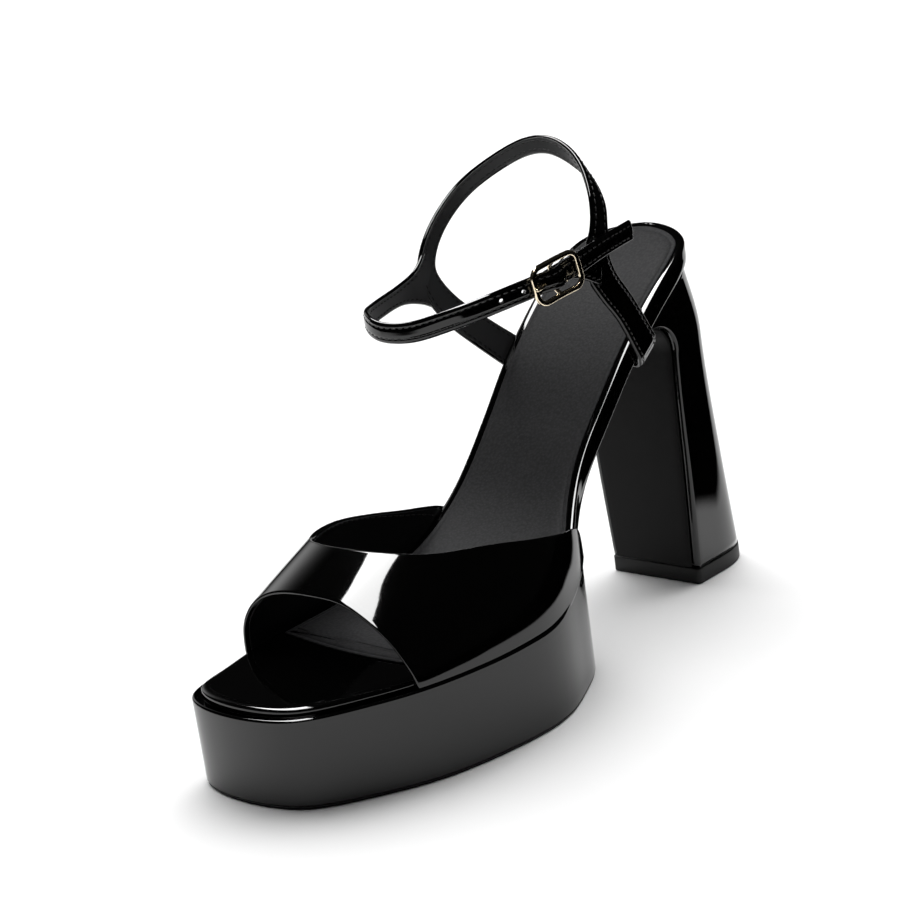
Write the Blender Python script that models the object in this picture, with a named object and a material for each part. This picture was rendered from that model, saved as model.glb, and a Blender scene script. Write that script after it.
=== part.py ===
"""Platform sandal for the left foot: solids in metres, toe towards -Y, outer side +X, standing on z = 0.

Lengths below are millimetres in the shoe's own frame: x runs to the outer side, y runs back from the toe.
centre_on_origin() moves the finished solids so that the middle of their box stands over the origin.
"""
import bmesh
import bpy
import math
import numpy as np
from mathutils import Vector

MM = 0.001
GAP = 0.3

# Footbed: plan outline, toe tip first, round the outer side to the heel and back along the inner side
FOOTBED_OUTLINE = [
    # place, x, y
    ("toe tip", -8.9, 2.8),
    ("outer toe corner", 13.1, 7.0),
    ("outer toe side", 27.0, 22.0),
    ("outer forefoot", 40.3, 47.0),
    ("outer ball", 46.4, 84.0),
    ("outer ball rear", 39.2, 112.0),
    ("outer waist", 24.2, 140.0),
    ("outer arch", 23.8, 170.0),
    ("outer heel", 23.0, 207.2),
    ("outer heel corner", 15.1, 220.5),
    ("heel end", -2.6, 226.2),
    ("inner heel corner", -20.4, 220.5),
    ("inner heel", -28.1, 207.2),
    ("inner arch", -27.9, 170.0),
    ("inner waist", -26.5, 140.0),
    ("inner ball rear", -28.0, 112.0),
    ("inner ball", -32.6, 84.0),
    ("inner forefoot", -33.0, 47.0),
    ("inner toe side", -29.8, 22.0),
    ("inner toe corner", -25.9, 7.0),
]
OUTLINE_STEPS = 4

# Footbed: height of its top edge, thickness of the board and depth of the hollow, along the shoe
FOOTBED_PROFILE = [
    # y, top, thickness, hollow
    (0.0, 31.2, 4.0, 0.0),
    (40.0, 32.8, 4.0, 0.2),
    (75.0, 34.0, 4.3, 0.5),
    (95.0, 36.5, 5.4, 0.9),
    (112.0, 43.3, 7.2, 1.2),
    (130.0, 55.0, 9.2, 1.4),
    (150.0, 74.5, 10.2, 1.6),
    (170.0, 95.0, 10.0, 1.8),
    (190.0, 111.0, 9.2, 1.8),
    (208.0, 121.5, 8.4, 1.2),
    (225.5, 129.0, 8.0, 0.0),
]

# Round edge of the footbed board: inset from the outline and share of the thickness
BOARD_EDGE = [
    # inset, share of thickness
    (1.9, 0.00),
    (0.6, 0.08),
    (0.0, 0.30),
    (0.0, 0.80),
    (0.3, 0.95),
    (1.2, 1.00),
]
EDGE_INSET = BOARD_EDGE[-1][0]

# Sock lining on the footbed
SOCK_INSET = 3.2
SOCK_THICKNESS = 0.8
SOCK_FRONT_Y = 46.0
SOCK_FRONT_BOW = 2.5
SOCK_FIRST_STEP = 12
SOCK_EDGE_INSET = 0.5
SOCK_EDGE_DROP = 0.3

# Platform and its outsole
PLATFORM_OVERHANG = 3.3
PLATFORM_EDGE_RADIUS = 1.6
PLATFORM_FOOT_CHAMFER = 0.5
PLATFORM_FORE_POINTS = 5
PLATFORM_REAR = [
    # x, y of the closed rear of the block, outer side first
    (41.9, 109.6),
    (27.7, 130.2),
    (-2.0, 140.0),
    (-25.0, 133.0),
    (-31.5, 111.0),
]
PLATFORM_STEPS = 5
OUTSOLE_THICKNESS = 1.2
OUTSOLE_INSET = 0.3

# Vamp: height of the crest of the last and its shift to one side, along the shoe
VAMP_CREST = [
    # y, crest, shift as a share of the half width
    (20.0, 46.0, 0.05),
    (40.0, 56.6, 0.03),
    (60.0, 66.4, -0.05),
    (80.0, 76.0, -0.13),
    (130.0, 100.0, -0.21),
]
# Vamp: front and rear edge along the girth, from the outer foot over the crest to the inner foot
VAMP_EDGES = [
    # girth, front y, rear y
    (0.00, 37.4, 124.0),
    (0.06, 36.7, 122.3),
    (0.12, 36.0, 108.0),
    (0.22, 35.5, 83.3),
    (0.30, 35.3, 67.3),
    (0.40, 35.7, 57.6),
    (0.50, 36.2, 54.9),
    (0.60, 36.0, 55.9),
    (0.70, 35.4, 60.8),
    (0.80, 34.4, 73.5),
    (0.88, 33.3, 91.5),
    (0.95, 33.0, 111.5),
    (1.00, 33.0, 130.5),
]
VAMP_THICKNESS = 1.8
VAMP_FOOT_OFFSET = 2.2
VAMP_ROUND_OUTER = 2.09
VAMP_ROUND_INNER = 3.4
VAMP_GIRTH_STEPS = 40
VAMP_LENGTH_STEPS = 12

# Heel block, its matte cover and its top lift
HEEL_FRONT_Y = 203.4
HEEL_REAR_BOTTOM_Y = 239.5
HEEL_REAR_TOP_Y = 225.5
HEEL_BOTTOM_X = 0.6
HEEL_TOP_X = -2.8
HEEL_FILLET = 12.0
HEEL_CORNER = 1.6
HEEL_STRAIGHT_SIDE = 0.35
FILLET_SEARCH_STEPS = 40
HEEL_REAR_BOW = 1.6
HEEL_REAR_ROUND_BOTTOM = 2.8
HEEL_REAR_ROUND_TOP = 2.4
HEEL_WIDTHS = [
    # height, half width
    (0.0, 19.5),
    (45.0, 21.7),
    (80.0, 22.9),
    (100.0, 24.2),
    (125.0, 25.4),
]
LIFT_THICKNESS = 6.0
LIFT_PROUD = 0.4
COVER_THICKNESS = 0.9
COVER_MARGIN = 2.6
COVER_FRONT_Y = 151.0
COVER_ARCH_INSET = 4.0
COVER_FOOT_GAP = 0.4

# Straps: centre line, the way its face looks in plan (degrees from +x towards +y) and its width
STRAP_THICKNESS = 2.0
STRAP_EDGE_INSET = 0.45
STRAP_EDGE_DROP = 0.3
QUARTER_PATH = [
    # x, y, z, facing, width; outer leg, back strap, inner leg
    (25.2, 181.5, 96.0, 0.0, 11.8),
    (26.7, 170.6, 112.1, 0.0, 11.0),
    (28.3, 160.6, 123.2, 0.0, 11.6),
    (29.1, 156.6, 132.6, -5.0, 9.8),
    (29.5, 157.7, 142.2, -14.0, 7.4),
    (27.3, 161.2, 151.7, -8.0, 7.0),
    (18.4, 167.1, 160.8, 14.0, 6.6),
    (3.4, 172.3, 167.0, 72.0, 6.4),
    (-10.0, 174.3, 167.1, 96.0, 6.4),
    (-23.4, 173.0, 162.2, 125.0, 6.3),
    (-34.2, 165.8, 154.5, 152.0, 6.4),
    (-38.5, 156.2, 145.4, 167.0, 6.6),
    (-39.5, 148.4, 135.7, 176.0, 7.6),
    (-39.3, 146.3, 126.0, 180.0, 9.4),
    (-37.0, 152.5, 114.0, 183.0, 10.8),
    (-32.8, 163.4, 102.4, 186.0, 11.8),
    (-29.3, 176.8, 90.4, 186.0, 12.8),
]
FRONT_PATH = [
    # x, y, z, facing, width; root on the inner leg, round the front, free end on the outer side
    (-38.5, 148.3, 125.7, 179.0, 24.0),
    (-38.1, 140.0, 124.9, 181.0, 12.8),
    (-36.9, 128.5, 124.7, 188.0, 7.4),
    (-31.4, 111.2, 124.0, 210.0, 7.0),
    (-25.7, 101.0, 123.7, 232.0, 7.0),
    (-15.1, 96.2, 121.9, 256.0, 7.0),
    (-3.0, 97.9, 122.0, 284.0, 7.0),
    (9.7, 103.0, 125.3, 308.0, 7.0),
    (17.7, 109.0, 127.9, 318.0, 7.0),
    (24.3, 116.6, 130.3, 328.0, 7.0),
    (28.4, 124.5, 131.9, 336.0, 7.0),
    (30.5, 131.1, 133.1, 344.0, 7.0),
    (32.7, 142.0, 135.4, 352.0, 7.0),
    (33.2, 153.5, 137.8, 360.0, 7.0),
    (31.8, 170.9, 139.4, 368.0, 7.0),
]
TAB_PATH = [
    # x, y, z, facing, width; short tab from the outer leg to the buckle's bar
    (29.0, 156.5, 132.1, -4.0, 15.5),
    (28.9, 148.6, 133.3, -4.0, 10.6),
    (28.8, 140.9, 133.5, -8.0, 7.6),
    (27.7, 131.0, 132.3, -16.0, 6.2),
]
STRAP_STEPS = 4

# Buckle, placed on the front strap
BUCKLE_ROW = 11
BUCKLE_LENGTH = 18.0
BUCKLE_HEIGHT = 12.0
BUCKLE_CORNER = 3.2
BUCKLE_WIRE = 1.6
BUCKLE_SADDLE = 0.5
BAR_OVERLAP = 0.1
STRAP_RISE = 1.6
STRAP_RISE_SPAN = 6.5
PIN_DIAMETER = 1.3
PIN_TAIL = 0.5
PIN_OVERHANG = 1.2
BUCKLE_SIDE_POINTS = (2.0, 0.0, -2.0)


def smooth(xs, ys, x):
    """Cubic curve through the table's points, read at x, with the slopes of its neighbours."""
    xs = np.asarray(xs, float)
    ys = np.asarray(ys, float)
    slopes = np.gradient(ys, xs)
    x = np.clip(x, xs[0], xs[-1])
    i = np.clip(np.searchsorted(xs, x) - 1, 0, len(xs) - 2)
    span = xs[i + 1] - xs[i]
    t = (x - xs[i]) / span
    start = (2 * t**3 - 3 * t**2 + 1) * ys[i] + (t**3 - 2 * t**2 + t) * span * slopes[i]
    end = (3 * t**2 - 2 * t**3) * ys[i + 1] + (t**3 - t**2) * span * slopes[i + 1]
    return start + end


def column(rows, index):
    """One column of a table."""
    return [row[index] for row in rows]


def through(points, steps, closed):
    """Curve through the points with so many steps a span; an open curve keeps its ends."""
    points = np.asarray(points, float)
    if not closed:
        first = 2 * points[:1] - points[1:2]
        last = 2 * points[-1:] - points[-2:-1]
        points = np.concatenate([first, points, last])
    count = len(points)
    spans = range(count) if closed else range(1, count - 2)
    t = (np.arange(steps) / steps)[:, None]
    pieces = []
    for i in spans:
        a, b, c, d = (points[(i + k) % count] for k in (-1, 0, 1, 2))
        pieces.append(0.5 * (2 * b + (c - a) * t + (2 * a - 5 * b + 4 * c - d) * t**2
                             + (3 * b - a - 3 * c + d) * t**3))
    if not closed:
        pieces.append(points[-2:-1])
    return np.concatenate(pieces)


def grown(outline, distance):
    """Closed plan outline moved outwards by a distance (inwards if negative)."""
    along = np.roll(outline, -1, 0) - np.roll(outline, 1, 0)
    out = np.column_stack([along[:, 1], -along[:, 0]])
    return outline + distance * out / np.linalg.norm(out, axis=1)[:, None]


def top_of_footbed(y):
    """Height of the footbed's top edge."""
    return smooth(column(FOOTBED_PROFILE, 0), column(FOOTBED_PROFILE, 1), y)


def board_thickness(y):
    """Thickness of the footbed board."""
    return smooth(column(FOOTBED_PROFILE, 0), column(FOOTBED_PROFILE, 2), y)


def hollow(y):
    """Depth of the footbed's middle below its edges."""
    return smooth(column(FOOTBED_PROFILE, 0), column(FOOTBED_PROFILE, 3), y)


def footbed_height(x, y):
    """Height of the footbed's top at a point, hollowed between its two edges."""
    outer = footbed_side(y, True, -EDGE_INSET)
    inner = footbed_side(y, False, -EDGE_INSET)
    off = np.clip(2 * (x - inner) / (outer - inner) - 1, -1, 1)
    return top_of_footbed(y) - hollow(y) * (1 - off**2)


def underside(y):
    """Height of the footbed board's underside."""
    return top_of_footbed(y) - board_thickness(y)


def footbed_outline(distance, steps=OUTLINE_STEPS):
    """Plan outline of the footbed, moved outwards by a distance."""
    points = [(x, y) for _, x, y in FOOTBED_OUTLINE]
    return grown(through(points, steps, True), distance)


def footbed_side(y, outer, distance):
    """x of the footbed's outer or inner side at y, moved outwards by a distance."""
    outline = footbed_outline(distance, 16)
    half = len(outline) // 2
    side = outline[:half + 1] if outer else outline[half:]
    side = side[np.argsort(side[:, 1])]
    return np.interp(y, side[:, 1], side[:, 0])


def material(name, colour, roughness, metallic=0.0):
    """Plain material for the solids."""
    made = bpy.data.materials.new(name)
    made.use_nodes = True
    shader = made.node_tree.nodes["Principled BSDF"]
    shader.inputs["Base Color"].default_value = (*colour, 1.0)
    shader.inputs["Roughness"].default_value = roughness
    shader.inputs["Metallic"].default_value = metallic
    return made


def add_solid(name, vertices, faces, look):
    """Object from millimetre vertices and faces, with its faces turned outwards."""
    mesh = bpy.data.meshes.new(name)
    mesh.from_pydata([tuple(MM * float(c) for c in v) for v in vertices], [], faces)
    work = bmesh.new()
    work.from_mesh(mesh)
    bmesh.ops.triangulate(work, faces=work.faces)
    bmesh.ops.recalc_face_normals(work, faces=work.faces)
    work.to_mesh(mesh)
    work.free()
    mesh.materials.append(look)
    solid = bpy.data.objects.new(name, mesh)
    bpy.context.scene.collection.objects.link(solid)
    return solid


def cap(ring, first, across, height, vertices, faces):
    """Close a ring with rungs from its outer to its inner side; height gives z inside, where it is set."""
    half = len(ring) // 2
    rows = []
    for i in range(half + 1):
        j = (len(ring) - i) % len(ring)
        if i == j or i == half:
            rows.append([first + i])
            continue
        row = [first + i]
        for k in range(1, across):
            share = k / across
            point = ring[i] * (1 - share) + ring[j] * share
            if height:
                point[2] = height(point[0], point[1])
            row.append(len(vertices))
            vertices.append(point)
        row.append(first + j)
        rows.append(row)
    for low, high in zip(rows, rows[1:]):
        if len(low) == 1:
            faces.extend([low[0], high[k], high[k + 1]] for k in range(len(high) - 1))
        elif len(high) == 1:
            faces.extend([low[k + 1], low[k], high[0]] for k in range(len(low) - 1))
        else:
            faces.extend([low[k], high[k], high[k + 1], low[k + 1]] for k in range(len(low) - 1))


def stack(rings, across, low=None, high=None):
    """Vertices and faces of a solid with rings from the bottom up; low and high shape its two caps."""
    count = len(rings[0])
    vertices = [p for ring in rings for p in ring]
    faces = []
    for level in range(len(rings) - 1):
        for i in range(count):
            j = (i + 1) % count
            a = level * count
            faces.append([a + i, a + j, a + count + j, a + count + i])
    cap(rings[0], 0, across, low, vertices, faces)
    cap(rings[-1], (len(rings) - 1) * count, across, high, vertices, faces)
    return vertices, faces


def shell(outer, inner):
    """Vertices and faces of a wall between two grids of the same size."""
    rows, columns = outer.shape[:2]
    vertices = list(outer.reshape(-1, 3)) + list(inner.reshape(-1, 3))
    behind = rows * columns
    faces = []
    for i in range(rows - 1):
        for j in range(columns - 1):
            a = i * columns + j
            quad = [a, a + 1, a + columns + 1, a + columns]
            faces.append(quad)
            faces.append([behind + k for k in reversed(quad)])
    rim = [j for j in range(columns)]
    rim += [i * columns + columns - 1 for i in range(1, rows)]
    rim += [(rows - 1) * columns + j for j in range(columns - 2, -1, -1)]
    rim += [i * columns for i in range(rows - 2, 0, -1)]
    for a, b in zip(rim, rim[1:] + rim[:1]):
        faces.append([a, b, behind + b, behind + a])
    return vertices, faces


def grid_normals(grid):
    """Unit normals of a grid of points."""
    du = np.gradient(grid, axis=0)
    dv = np.gradient(grid, axis=1)
    normal = np.cross(du, dv)
    return normal / np.linalg.norm(normal, axis=2)[:, :, None]


def footbed(look):
    """Footbed board: the outline carried up its round edge, with a hollowed top."""
    rings = []
    for inset, share in BOARD_EDGE:
        outline = footbed_outline(-inset)
        y = outline[:, 1]
        z = underside(y) + share * board_thickness(y)
        rings.append(np.column_stack([outline, z]))
    return add_solid("insole", *stack(rings, 6, None, footbed_height), look)


def sock_ring(inset, lift):
    """Outline of the sock lining at an inset, lifted over the footbed's hollowed top."""
    edge = footbed_outline(-inset)
    sides = list(edge[SOCK_FIRST_STEP:len(edge) - SOCK_FIRST_STEP + 1])
    front = SOCK_FRONT_Y + inset - SOCK_INSET
    x_outer = footbed_side(front, True, -inset)
    x_inner = footbed_side(front, False, -inset)
    middle = 0.5 * (x_outer + x_inner)
    bow = SOCK_FRONT_BOW
    start = [(middle, front - bow), (0.5 * (middle + x_outer), front - 0.75 * bow), (x_outer, front)]
    end = [(x_inner, front), (0.5 * (middle + x_inner), front - 0.75 * bow)]
    plan = np.array(start + sides + end)
    return np.column_stack([plan, footbed_height(plan[:, 0], plan[:, 1]) + lift])


def sock_lining(look):
    """Thin lining on the footbed, with a small round edge."""
    high = GAP + SOCK_THICKNESS
    rings = [sock_ring(SOCK_INSET, GAP), sock_ring(SOCK_INSET, high - SOCK_EDGE_DROP),
             sock_ring(SOCK_INSET + SOCK_EDGE_INSET, high)]

    def low_face(x, y):
        return footbed_height(x, y) + GAP

    def high_face(x, y):
        return footbed_height(x, y) + high

    return add_solid("sock_lining", *stack(rings, 6, low_face, high_face), look)


def platform_outline(distance):
    """Plan outline of the platform: the footbed's forefoot grown, closed at the rear."""
    points = np.array([(x, y) for _, x, y in FOOTBED_OUTLINE])
    wide = grown(points, PLATFORM_OVERHANG)
    fore = PLATFORM_FORE_POINTS
    rows = list(wide[:fore]) + [np.array(row) for row in PLATFORM_REAR] + list(wide[1 - fore:])
    return grown(through(rows, PLATFORM_STEPS, True), distance)


def platform(look):
    """Wedge block: straight wall from the outsole to a round top edge that follows the footbed."""
    bottom = OUTSOLE_THICKNESS + GAP
    radius = PLATFORM_EDGE_RADIUS
    chamfer = PLATFORM_FOOT_CHAMFER
    low = platform_outline(-chamfer)
    wall = platform_outline(0.0)
    rings = [np.column_stack([low, np.full(len(low), bottom)]),
             np.column_stack([wall, np.full(len(wall), bottom + chamfer)])]
    for turn in (0, 30, 60, 90):
        inset = radius * (1 - math.cos(math.radians(turn)))
        drop = radius * (1 - math.sin(math.radians(turn)))
        plan = platform_outline(-inset)
        rings.append(np.column_stack([plan, underside(plan[:, 1]) - GAP - drop]))
    return add_solid("platform", *stack(rings, 5), look)


def outsole(look):
    """Flat rubber sheet under the platform."""
    plan = platform_outline(-OUTSOLE_INSET)
    rings = [np.column_stack([plan, np.full(len(plan), z)]) for z in (0.0, OUTSOLE_THICKNESS)]
    return add_solid("outsole", *stack(rings, 2), look)


def vamp_surface(girth, length):
    """Outer face of the vamp: half a rounded section of the last at y, between the two edge curves."""
    stations = column(VAMP_EDGES, 0)
    front = smooth(stations, column(VAMP_EDGES, 1), girth)
    rear = smooth(stations, column(VAMP_EDGES, 2), girth)
    y = front + (rear - front) * length
    outer = footbed_side(y, True, VAMP_FOOT_OFFSET)
    inner = footbed_side(y, False, VAMP_FOOT_OFFSET)
    foot = underside(y)
    crest = smooth(column(VAMP_CREST, 0), column(VAMP_CREST, 1), y)
    shift = smooth(column(VAMP_CREST, 0), column(VAMP_CREST, 2), y)
    middle = 0.5 * (outer + inner) + shift * 0.5 * (outer - inner)
    turn = math.pi * girth
    side = np.cos(turn)
    power = 2 / np.where(side >= 0, VAMP_ROUND_OUTER, VAMP_ROUND_INNER)
    reach = np.where(side >= 0, outer, inner) - middle
    x = middle + reach * np.abs(side) ** power
    z = foot + (crest - foot) * np.abs(np.sin(turn)) ** power
    return np.stack([x, y, z], axis=-1)


def vamp(look):
    """Hollow band of one thickness over the forefoot, open at the toe, the throat and underneath."""
    girth = 0.5 - 0.5 * np.cos(math.pi * np.linspace(0, 1, VAMP_GIRTH_STEPS + 1))
    girth = 0.5 * girth + 0.5 * np.linspace(0, 1, VAMP_GIRTH_STEPS + 1)
    length = np.linspace(0, 1, VAMP_LENGTH_STEPS + 1)
    g, v = np.meshgrid(girth, length, indexing="ij")
    outer = vamp_surface(g, v)
    normal = grid_normals(outer)
    if normal[VAMP_GIRTH_STEPS // 2, 0, 2] < 0:
        normal = -normal
    normal[0, :, 2] = 0
    normal[-1, :, 2] = 0
    normal = normal / np.linalg.norm(normal, axis=2)[:, :, None]
    return add_solid("vamp", *shell(outer, outer - VAMP_THICKNESS * normal), look)


def breast_profile():
    """Side view of the heel's front: up the breast, round the fillet to the footbed's underside."""
    low, high = COVER_FRONT_Y, HEEL_FRONT_Y
    for _ in range(FILLET_SEARCH_STEPS):
        y = 0.5 * (low + high)
        tilt = math.atan(underside(y + 0.5) - underside(y - 0.5))
        centre_y = y + HEEL_FILLET * math.sin(tilt)
        if centre_y + HEEL_FILLET > HEEL_FRONT_Y:
            high = y
        else:
            low = y
    centre_z = underside(y) - GAP - HEEL_FILLET * math.cos(tilt)
    bottom = LIFT_THICKNESS + GAP
    line = [(HEEL_FRONT_Y, z) for z in np.linspace(bottom, centre_z, 6)]
    turns = np.linspace(0, math.pi / 2 + tilt, 7)[1:]
    arc = [(centre_y + HEEL_FILLET * math.cos(a), centre_z + HEEL_FILLET * math.sin(a)) for a in turns]
    return np.array(line + arc)


def heel_ring(half_width, front, rear, middle, roundness):
    """Heel section between a front and a rear point: square front corners and a rounded back."""
    turns = np.radians(np.linspace(0, 90, 9))
    side = HEEL_STRAIGHT_SIDE
    right = [(0.0, 0.0), (0.5 * half_width, 0.0), (half_width - HEEL_CORNER, 0.0)]
    depth = math.dist(front, rear)
    right.append((half_width - 0.3 * HEEL_CORNER, 0.3 * HEEL_CORNER / depth))
    right.append((half_width, HEEL_CORNER / depth))
    for a in turns:
        power = 2 / roundness
        across = half_width * max(math.cos(a), 0.0) ** power
        right.append((across, side + (1 - side) * math.sin(a) ** power))
    right[-1] = (0.0, 1.0)
    left = [(-x, s) for x, s in reversed(right[1:-1])]
    ring = []
    for x, share in right + left:
        y = front[0] + (rear[0] - front[0]) * share
        z = front[1] + (rear[1] - front[1]) * share
        ring.append((middle + x, y, z))
    return np.array(ring)


def heel(look):
    """Flared block: sections that turn from level at the lift to the slope of the seat."""
    profile = breast_profile()
    bottom = LIFT_THICKNESS + GAP
    top = underside(HEEL_REAR_TOP_Y) - GAP
    rings = []
    count = len(profile)
    for i, front in enumerate(profile):
        share = i / (count - 1)
        rear_z = bottom + (top - bottom) * share
        rise = (rear_z - bottom) / (top - bottom)
        rear_y = HEEL_REAR_BOTTOM_Y + (HEEL_REAR_TOP_Y - HEEL_REAR_BOTTOM_Y) * rise
        rear_y -= HEEL_REAR_BOW * math.sin(math.pi * rise)
        level = 0.5 * (front[1] + rear_z)
        half_width = smooth(column(HEEL_WIDTHS, 0), column(HEEL_WIDTHS, 1), level)
        middle = HEEL_BOTTOM_X + (HEEL_TOP_X - HEEL_BOTTOM_X) * rise
        roundness = HEEL_REAR_ROUND_BOTTOM + (HEEL_REAR_ROUND_TOP - HEEL_REAR_ROUND_BOTTOM) * rise
        rings.append(heel_ring(half_width, front, (rear_y, rear_z), middle, roundness))
    last = rings[-1]
    last[:, 2] = underside(last[:, 1]) - GAP
    return add_solid("heel", *stack(rings, 4), look)


def breast_cover(look):
    """Matte sheet down the heel's front, carried forward under the arch."""
    profile = breast_profile()
    ys = np.linspace(profile[-1][0], COVER_FRONT_Y, 7)[1:]
    path = np.concatenate([profile, np.column_stack([ys, underside(ys) - GAP])])
    path[0, 1] += COVER_FOOT_GAP
    along = np.gradient(path, axis=0)
    along /= np.linalg.norm(along, axis=1)[:, None]
    front = np.column_stack([-along[:, 1], along[:, 0]])
    half = smooth(column(HEEL_WIDTHS, 0), column(HEEL_WIDTHS, 1), path[:, 1]) - COVER_MARGIN
    rise = np.clip((path[:, 1] - LIFT_THICKNESS) / (underside(HEEL_REAR_TOP_Y) - LIFT_THICKNESS), 0, 1)
    middle = HEEL_BOTTOM_X + (HEEL_TOP_X - HEEL_BOTTOM_X) * rise
    arch = np.arange(len(path)) >= len(profile)
    inner = footbed_side(path[:, 0], False, -COVER_ARCH_INSET)
    outer = footbed_side(path[:, 0], True, -COVER_ARCH_INSET)
    left = np.where(arch, inner, middle - half)
    right = np.where(arch, outer, middle + half)
    grids = []
    for depth in (GAP, GAP + COVER_THICKNESS):
        line = path + depth * front
        rows = [np.column_stack([left + (right - left) * k / 2, line]) for k in range(3)]
        grids.append(np.stack(rows, axis=1))
    return add_solid("breast_cover", *shell(grids[1], grids[0]), look)


def top_lift(look):
    """Rubber lift, slightly proud of the heel's sides."""
    front = HEEL_FRONT_Y - LIFT_PROUD
    rear = HEEL_REAR_BOTTOM_Y + LIFT_PROUD
    half = HEEL_WIDTHS[0][1] + LIFT_PROUD
    rings = [heel_ring(half, (front, z), (rear, z), HEEL_BOTTOM_X, HEEL_REAR_ROUND_BOTTOM)
             for z in (0.0, LIFT_THICKNESS)]
    return add_solid("top_lift", *stack(rings, 2), look)


def strap_frame(rows):
    """Points of a strap's centre line with its along, out and across directions and its widths."""
    table = np.array(rows, float)
    line = through(table[:, :3], STRAP_STEPS, False)
    rest = through(table[:, 3:], STRAP_STEPS, False)
    along = np.gradient(line, axis=0)
    along /= np.linalg.norm(along, axis=1)[:, None]
    facing = np.radians(rest[:, 0])
    out = np.column_stack([np.cos(facing), np.sin(facing), 0 * facing])
    out -= np.sum(out * along, axis=1)[:, None] * along
    out /= np.linalg.norm(out, axis=1)[:, None]
    across = np.cross(along, out)
    return line, along, out, across, rest[:, 1]


def strap(name, rows, thickness, look, rise=0.0):
    """Flat strap with eased edges along its table; rise lifts it over the buckle's bar."""
    line, along, out, across, width = strap_frame(rows)
    if rise:
        steps = np.linalg.norm(np.diff(line, axis=0), axis=1)
        run = np.concatenate([[0], np.cumsum(steps)])
        run = run - run[BUCKLE_ROW * STRAP_STEPS]
        lift = np.where(np.abs(run) < STRAP_RISE_SPAN,
                        rise * np.cos(0.5 * math.pi * run / STRAP_RISE_SPAN) ** 2, 0.0)
        line = line + lift[:, None] * out
    half = 0.5 * width[:, None]
    deep = 0.5 * thickness
    ease = STRAP_EDGE_INSET * thickness
    side_high = deep - STRAP_EDGE_DROP
    corners = [(-1, -deep, ease), (1, -deep, ease), (1, -side_high, 0), (1, side_high, 0),
               (1, deep, ease), (-1, deep, ease), (-1, side_high, 0), (-1, -side_high, 0)]
    rings = [line + side * (half - inset) * across + height * out for side, height, inset in corners]
    rings = np.stack(rings, axis=1)
    count = len(line)
    sides = len(corners)
    faces = []
    for i in range(count - 1):
        for k in range(sides):
            m = (k + 1) % sides
            faces.append([i * sides + k, i * sides + m, (i + 1) * sides + m, (i + 1) * sides + k])
    faces.append(list(range(sides)))
    faces.append([(count - 1) * sides + k for k in range(sides)])
    return add_solid(name, rings.reshape(-1, 3), faces, look)


def joined(whole, *others):
    """Fuse the other solids into the first."""
    for other in others:
        union = whole.modifiers.new("union", "BOOLEAN")
        union.operation = "UNION"
        union.solver = "EXACT"
        union.object = other
        graph = bpy.context.evaluated_depsgraph_get()
        fused = bpy.data.meshes.new_from_object(whole.evaluated_get(graph))
        whole.modifiers.clear()
        whole.data = fused
        bpy.data.objects.remove(other)
    return whole


def buckle_place():
    """Middle of the buckle on the strap with its along, out and across directions."""
    line, along, out, across, _ = strap_frame(FRONT_PATH)
    i = BUCKLE_ROW * STRAP_STEPS
    return line[i], along[i], out[i], across[i]


def tube(name, line, radius, look, closed):
    """Round wire of eight sides along a line."""
    line = np.asarray(line, float)
    if closed:
        along = np.roll(line, -1, 0) - np.roll(line, 1, 0)
    else:
        along = np.gradient(line, axis=0)
    along /= np.linalg.norm(along, axis=1)[:, None]
    _, _, out, _ = buckle_place()
    side = np.cross(along, out)
    side /= np.linalg.norm(side, axis=1)[:, None]
    up = np.cross(side, along)
    turns = np.radians(np.arange(8) * 45 + 22.5)
    rings = np.stack([line + radius * (math.cos(a) * side + math.sin(a) * up) for a in turns], axis=1)
    count = len(line)
    faces = []
    for i in range(count if closed else count - 1):
        j = (i + 1) % count
        for k in range(8):
            m = (k + 1) % 8
            faces.append([i * 8 + k, i * 8 + m, j * 8 + m, j * 8 + k])
    if not closed:
        faces.append(list(range(8)))
        faces.append([(count - 1) * 8 + k for k in range(8)])
    return add_solid(name, rings.reshape(-1, 3), faces, look)


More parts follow.
